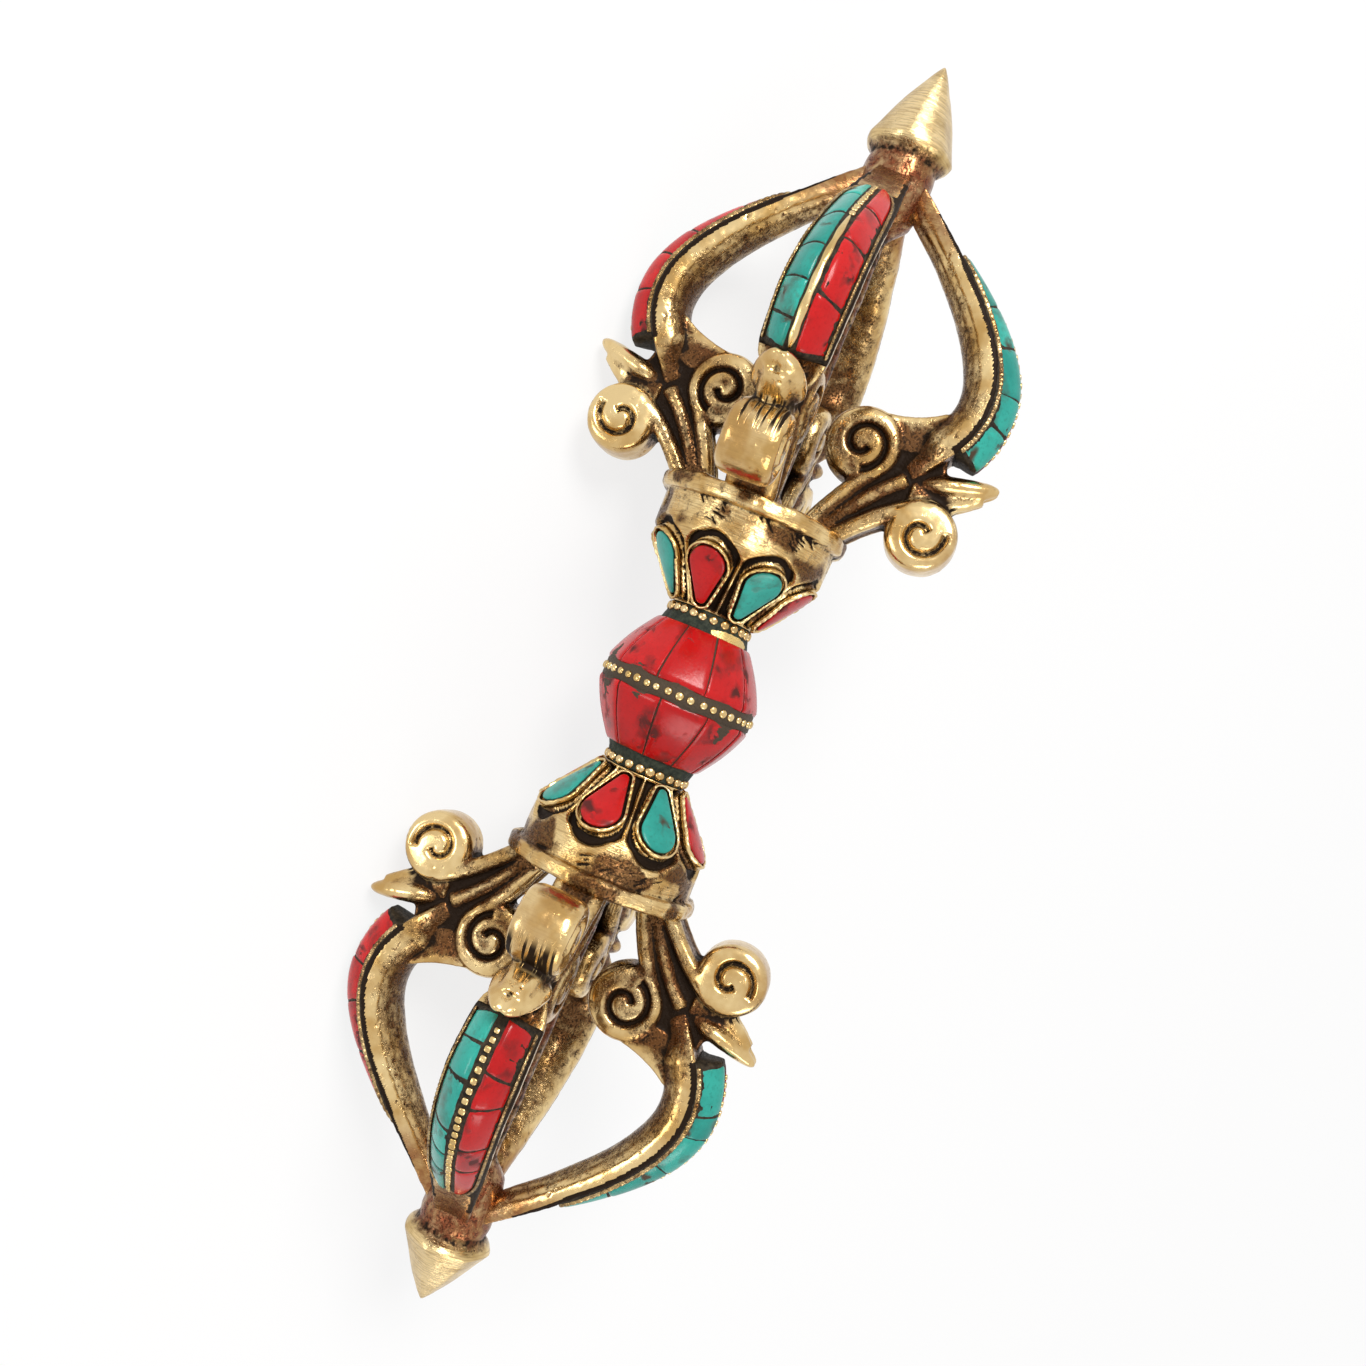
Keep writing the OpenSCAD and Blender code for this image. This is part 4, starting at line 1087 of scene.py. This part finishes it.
def petal_stone(turn, seed, end):
    rng = np.random.default_rng(seed)
    ring = petal_ring(-0.25 + rng.uniform(-0.06, 0.04), PETAL_POINTS, end)
    centre = np.array((lerp(PETAL_FOOT, PETAL_HEAD[end], 0.62), 0))
    tilt = rng.uniform(-0.09, 0.09, 2)
    rings, depth = [], []
    for share, drop in PETAL_RINGS:
        p = centre + share * (ring - centre)
        lift = PETAL_LIFT - drop + tilt[0] * (p[:, 0] - centre[0]) / 4 + tilt[1] * p[:, 1] / 3
        rings.append(on_cone(p, lift, turn))
        depth.append(np.full(len(p), max(drop, 0)))
    return skin(rings) + (np.concatenate(depth),)


def bezel(turn, seed, end):
    """A wire on edge round a petal, its top cut into scallops, worn away in places."""
    rng = np.random.default_rng(seed)
    count = BEZEL_POINTS
    inner, outer = petal_ring(0.1, count, end), petal_ring(0.42, count, end)
    tooth = np.abs(np.sin(math.pi * np.arange(count) * BEZEL_TEETH / count)) ** 0.6
    worn = np.interp(np.arange(count), np.linspace(0, count, 12), rng.uniform(-0.25, 0.05, 12))
    top = 0.92 + 0.1 * tooth + worn
    rings = [on_cone(lerp(inner, outer, share), np.maximum(top - drop, -0.2), turn)
             for share, drop in BEZEL_RINGS]
    rings = np.asarray(rings).transpose(1, 0, 2)
    verts, faces = skin(np.concatenate((rings, rings[:1])), caps=False)
    points = len(BEZEL_RINGS)
    return verts[:-points], [[i % (points * count) for i in f] for f in faces]


def file_cuts(y, x, seed):
    """1 in bunches of slanted file cuts round the cup's plain band, seen unrolled."""
    rng = np.random.default_rng(seed)
    depth = np.zeros(y.shape)
    for _ in range(CUT_BUNCHES):
        cy, cx = rng.uniform(0, ROUND * CUP_R), RIM_LOW - rng.uniform(0.2, 3.0)
        lean = math.radians(rng.uniform(5, 45))
        for k in range(int(rng.integers(2, 6))):
            half = rng.uniform(0.6, 1.9)
            along = (y - cy) * math.cos(lean) + (x - cx) * math.sin(lean) - rng.uniform(-0.6, 0.6)
            off = (x - cx) * math.cos(lean) - (y - cy) * math.sin(lean) - 0.5 * k - rng.uniform(-0.12, 0.12)
            one = bell(off, CUT_W) * smoothstep(half, 0.4 * half, np.abs(along))
            depth = np.maximum(depth, one * rng.uniform(0.3, 1))
    return depth


def cup_form(end, seed):
    """A cup with sunk arches round its petals, and the fields that its brass reads."""
    arc = np.linspace(0, math.pi / 2, 8)
    rim = np.array((RIM_R, RIM_FACE)) - RIM_ROUND
    rim = np.column_stack((rim[0] + RIM_ROUND * np.cos(arc), rim[1] + RIM_ROUND * np.sin(arc)))
    low = (RIM_R - RIM_LOW_ROUND, RIM_LOW + RIM_LOW_ROUND)
    low = np.column_stack((low[0] + RIM_LOW_ROUND * np.sin(arc), low[1] - RIM_LOW_ROUND * np.cos(arc)))
    wall_line = [(3.3, LOTUS_FROM), (NECK_R, LOTUS_FROM), FOOT, HEAD, (CUP_R + 0.1, RIM_LOW - 0.1)]
    profile = softened(resampled(np.concatenate((wall_line, low, rim, [(2.5, RIM_FACE)])), 0.15), 2)
    sides = 300
    rr, aa, r, a, spots = round_grid(profile, sides)
    wall = (a > LOTUS_FROM + 0.3) & (a < RIM_LOW + 0.2) & (r > NECK_R - 0.3)
    pitch = ROUND / PETALS
    swing = (aa - PETAL_TURN + pitch / 2) % pitch - pitch / 2
    gap = petal_gap(((profile - FOOT) @ CONE_WAY)[rr], swing * r, end)
    between_petals = bell((pitch / 2 - np.abs(swing)) * r, 0.3)
    arch = smoothstep(0.42, 0.62, gap) * smoothstep(1.8, 1.4, gap) * (1 - between_petals) * wall
    cuts = file_cuts(r * aa, a, seed) * wall * smoothstep(1.4, 1.7, gap)
    wave = (0.1 * noise(spots, 3.0, seed) + 0.025 * rough(spots, 1.1, seed + 7)).reshape(rr.shape)
    on_rim = smoothstep(RIM_LOW - 0.3, RIM_LOW + 0.5, a) * smoothstep(9.5, 11, r)
    wave += 0.2 * on_rim * rough(spots, 2.6, seed + 3).reshape(rr.shape)
    verts, faces = turned_form(profile, sides, wave - ARCH_DEPTH * arch - CUT_DEPTH * cuts)
    inside = smoothstep(0.4, 0.2, gap) * wall
    sunk = hollows(verts, faces, edges_of(faces), 30) / 0.25
    grime = np.clip(np.maximum(np.maximum(inside, arch), 0.75 * cuts).ravel() + sunk, 0, 1)
    top_face = smoothstep(RIM_FACE - 0.5, RIM_FACE - 0.1, a) * smoothstep(11.5, 9.5, r)
    grime = np.clip(grime + 0.5 * top_face.ravel(), 0, 1)
    filed = np.where(wall & (gap > 1.5), 1.0, np.where(a > RIM_LOW, 0.7, 0.0)).ravel()
    stained = smoothstep(-0.1, 0.5, noise(spots, 2.4, seed + 11)).reshape(rr.shape)
    polish_and_shade = (0.5 - 1.5 * stained - 1.2 * top_face).ravel() + np.clip(-sunk, 0, 0.7)
    return (verts, faces), brass_fields(verts + seed, grime, filed, polish_and_shade=polish_and_shade)


for end, seed in zip(ENDS, (70, 80)):
    form, fields = cup_form(end, seed)
    piece(f"{end}_lotus", form, BRASS, fields, end)
    turns = [PETAL_TURN + ROUND * k / PETALS for k in range(PETALS)]
    petals = [petal_stone(turn, seed + k, end) for k, turn in enumerate(turns)]
    for row, first, stone in (("coral", 0, CORAL), ("turquoise", 1, TURQUOISE)):
        rng = np.random.default_rng(seed)
        form, fields = stone_set([(v, f, rng.uniform(0.35, 1.0), d) for v, f, d in petals[first::2]])
        piece(f"{end}_lotus_{row}", form, stone, {"local": form[0] + seed} | fields, end)
    form = joined([bezel(turn, seed + k, end) for k, turn in enumerate(turns)])
    piece(f"{end}_lotus_wires", form, WIRE, brass_fields(form[0] + seed, polish_and_shade=1), end)


# Central prongs with their tips

TIP_H = {"left": 13.7, "right": 10.5}
TIP_R, TIP_SIDES, TIP_SWELL, TIP_FLARE_H = 6.1, 96, 0.76, 1.7
FACET_DEPTH = 0.22
NECK_FROM = NECK_TOP - 8.6
ROD = ((0.05, RIM_FACE - 0.3), (3.1, RIM_FACE - 0.3), (3.1, RIM_FACE + 1.2), (2.2, RIM_FACE + 2.4),
       (1.9, NECK_FROM - 1.2), (4.1, NECK_FROM + 1.2), (4.75, NECK_TOP - 4), (4.7, NECK_TOP - 0.9),
       (4.5, NECK_TOP + 0.1), (4.95, NECK_TOP + 0.75), (5.55, NECK_TOP + 1.15))

for end, seed in zip(ENDS, (90, 91)):
    tip_top = NECK_TOP + TIP_H[end]
    share = np.linspace(0, 0.97, 26)
    tip = NECK_TOP + lerp(TIP_FLARE_H, TIP_H[end] - 0.12, share)
    tip = np.column_stack((TIP_R * (1 - share) ** TIP_SWELL, tip))
    point = [(0.25, tip_top - 0.05), (0.04, tip_top)]
    profile = softened(np.concatenate((resampled(ROD, 0.3), resampled(tip, 0.25), point)), 2)
    rr, aa, r, a, spots = round_grid(profile, TIP_SIDES)
    on_tip = smoothstep(NECK_TOP + 1.0, NECK_TOP + 2.0, a)
    wave = (0.14 * noise(spots, 5, seed) + 0.02 * noise(spots, 1.2, seed + 2)).reshape(rr.shape)
    bumps = (0.05 * rough(spots, 1.1, seed + 2)).reshape(rr.shape) * (1 - on_tip)
    facet = -FACET_DEPTH * np.abs(np.cos(3.5 * aa + 0.15 * np.sin(a))) * on_tip * r / TIP_R
    verts, faces = turned_form(profile, TIP_SIDES, smoothstep(0.2, 2.0, r) * (wave + bumps + facet - 0.12))
    rise = verts[:, 2] - NECK_TOP
    sunk = hollows(verts, faces, edges_of(faces), 20) / 0.3
    grime = np.clip(0.7 * sunk + 0.3 * smoothstep(1.3, 0.5, rise) + 0.22 * smoothstep(-9, -12, rise), 0, 1)
    filed, warm, polish_and_shade = smoothstep(0.5, 1.5, rise), smoothstep(1.2, 0.0, rise), smoothstep(0.8, 1.6, rise)
    fields = brass_fields(verts + seed, grime, filed, warm, polish_and_shade)
    piece(f"{end}_central_prong", (verts, faces), TIP_BRASS, fields, end)


# Floor, light and camera

FLOOR_HALF = 1.5
ELEVATION = math.radians(54)
# Sine and cosine of the object's slant in the picture
SLANT_SIN, SLANT_COS = 0.392, 0.92
CAMERA_AWAY, CAMERA_LENS, CAMERA_SENSOR = 0.172, 35.7, 36
WHITE = rgb(1, 1, 1)
SURROUND, SURROUND_LIGHT = rgb(0.8, 0.8, 0.82), 0.5


def white_seen(tree):
    """A value that is 1 for rays that see the white surroundings, and 0 for those that light things."""
    rays = tree.nodes.new("ShaderNodeLightPath")
    seen = rays.outputs["Is Camera Ray"]
    for kind in ("Is Glossy Ray", "Is Transmission Ray"):
        either = tree.nodes.new("ShaderNodeMath")
        either.operation = "MAXIMUM"
        tree.links.new(seen, either.inputs[0])
        tree.links.new(rays.outputs[kind], either.inputs[1])
        seen = either.outputs[0]
    return seen


def floor_material():
    """A pale floor that keeps a shadow near the object and is white farther off."""
    n = Nodes("pale_floor")
    here = n.add("ShaderNodeTexCoord").outputs["Object"]
    cloud = n.span(n.noise(here, 3.0, 3), 0.3, 0.7)
    n.set(Base_Color=n.mix(cloud, rgb(0.86, 0.86, 0.86), rgb(0.88, 0.88, 0.88)), Roughness=0.7)
    glow = n.add("ShaderNodeEmission", {"Color": WHITE, "Strength": 1.0})
    away = n.add("ShaderNodeVectorMath", {0: here}, operation="LENGTH").outputs["Value"]
    white = n.math("MULTIPLY", white_seen(n.tree), n.span(away, 0.2, 0.6, 0.8, 1.0))
    both = n.add("ShaderNodeMixShader", {0: white, 1: n.shader.outputs[0], 2: glow.outputs[0]})
    n.tree.links.new(both.outputs[0], n.tree.nodes["Material Output"].inputs["Surface"])
    return n.material


floor_mesh = bpy.data.meshes.new("floor")
corners = ((-1, -1), (1, -1), (1, 1), (-1, 1))
floor_mesh.from_pydata([(FLOOR_HALF * x, FLOOR_HALF * y, 0) for x, y in corners], [], [(0, 1, 2, 3)])
floor_mesh.materials.append(floor_material())
floor = placed("floor", floor_mesh)

# The camera's own directions: right, above and back
along = np.array((1, 0, 0))
upward = np.array((0, math.sin(ELEVATION), math.cos(ELEVATION)))
back = np.array((0, -math.cos(ELEVATION), math.sin(ELEVATION)))
right = -SLANT_SIN * along + SLANT_COS * upward
above = -SLANT_COS * along - SLANT_SIN * upward


def area_light(name, at, size, power, colour):
    """A softbox placed by shares of the camera's right, up and back directions and aimed at the object."""
    data = bpy.data.lights.new(name, "AREA")
    data.shape = "RECTANGLE"
    data.size, data.size_y = size
    data.energy = power
    data.color = colour
    obj = placed(name, data)
    spot = Vector(at[0] * right + at[1] * above + at[2] * back)
    obj.location = spot + Vector((0, 0, HUB[2] * MM))
    obj.rotation_euler = (-spot).to_track_quat("-Z", "Y").to_euler()


area_light("key_softbox", (0.3, 0.35, 0.6), (0.3, 0.3), 5.0, (1.0, 0.98, 0.95))
area_light("fill_softbox", (-0.6, 0.05, 0.4), (0.22, 0.5), 2.0, (1.0, 0.99, 0.97))
area_light("low_softbox", (0.1, -0.65, 0.35), (0.5, 0.2), 1.5, (1.0, 0.98, 0.95))

world = bpy.data.worlds.new("studio")
world.use_nodes = True
tree = world.node_tree
surround = tree.nodes["Background"]
surround.inputs["Color"].default_value = SURROUND
surround.inputs["Strength"].default_value = SURROUND_LIGHT
white = tree.nodes.new("ShaderNodeBackground")
white.inputs["Color"].default_value = WHITE
either = tree.nodes.new("ShaderNodeMixShader")
for source, socket in zip((white_seen(tree), surround.outputs[0], white.outputs[0]), either.inputs):
    tree.links.new(source, socket)
tree.links.new(either.outputs[0], tree.nodes["World Output"].inputs["Surface"])
bpy.context.scene.world = world

camera_data = bpy.data.cameras.new("camera")
camera_data.lens = CAMERA_LENS
camera_data.sensor_width = CAMERA_SENSOR
camera_data.clip_start = 0.01
camera = placed("camera", camera_data)
turn = Matrix(np.column_stack((right, above, back)).tolist()).to_4x4()
spot = CAMERA_AWAY * back + np.array((0, HUB[1], HUB[2])) * MM
camera.matrix_world = Matrix.Translation(spot.tolist()) @ turn
bpy.context.scene.camera = camera
bpy.context.scene.view_settings.view_transform = "Standard"
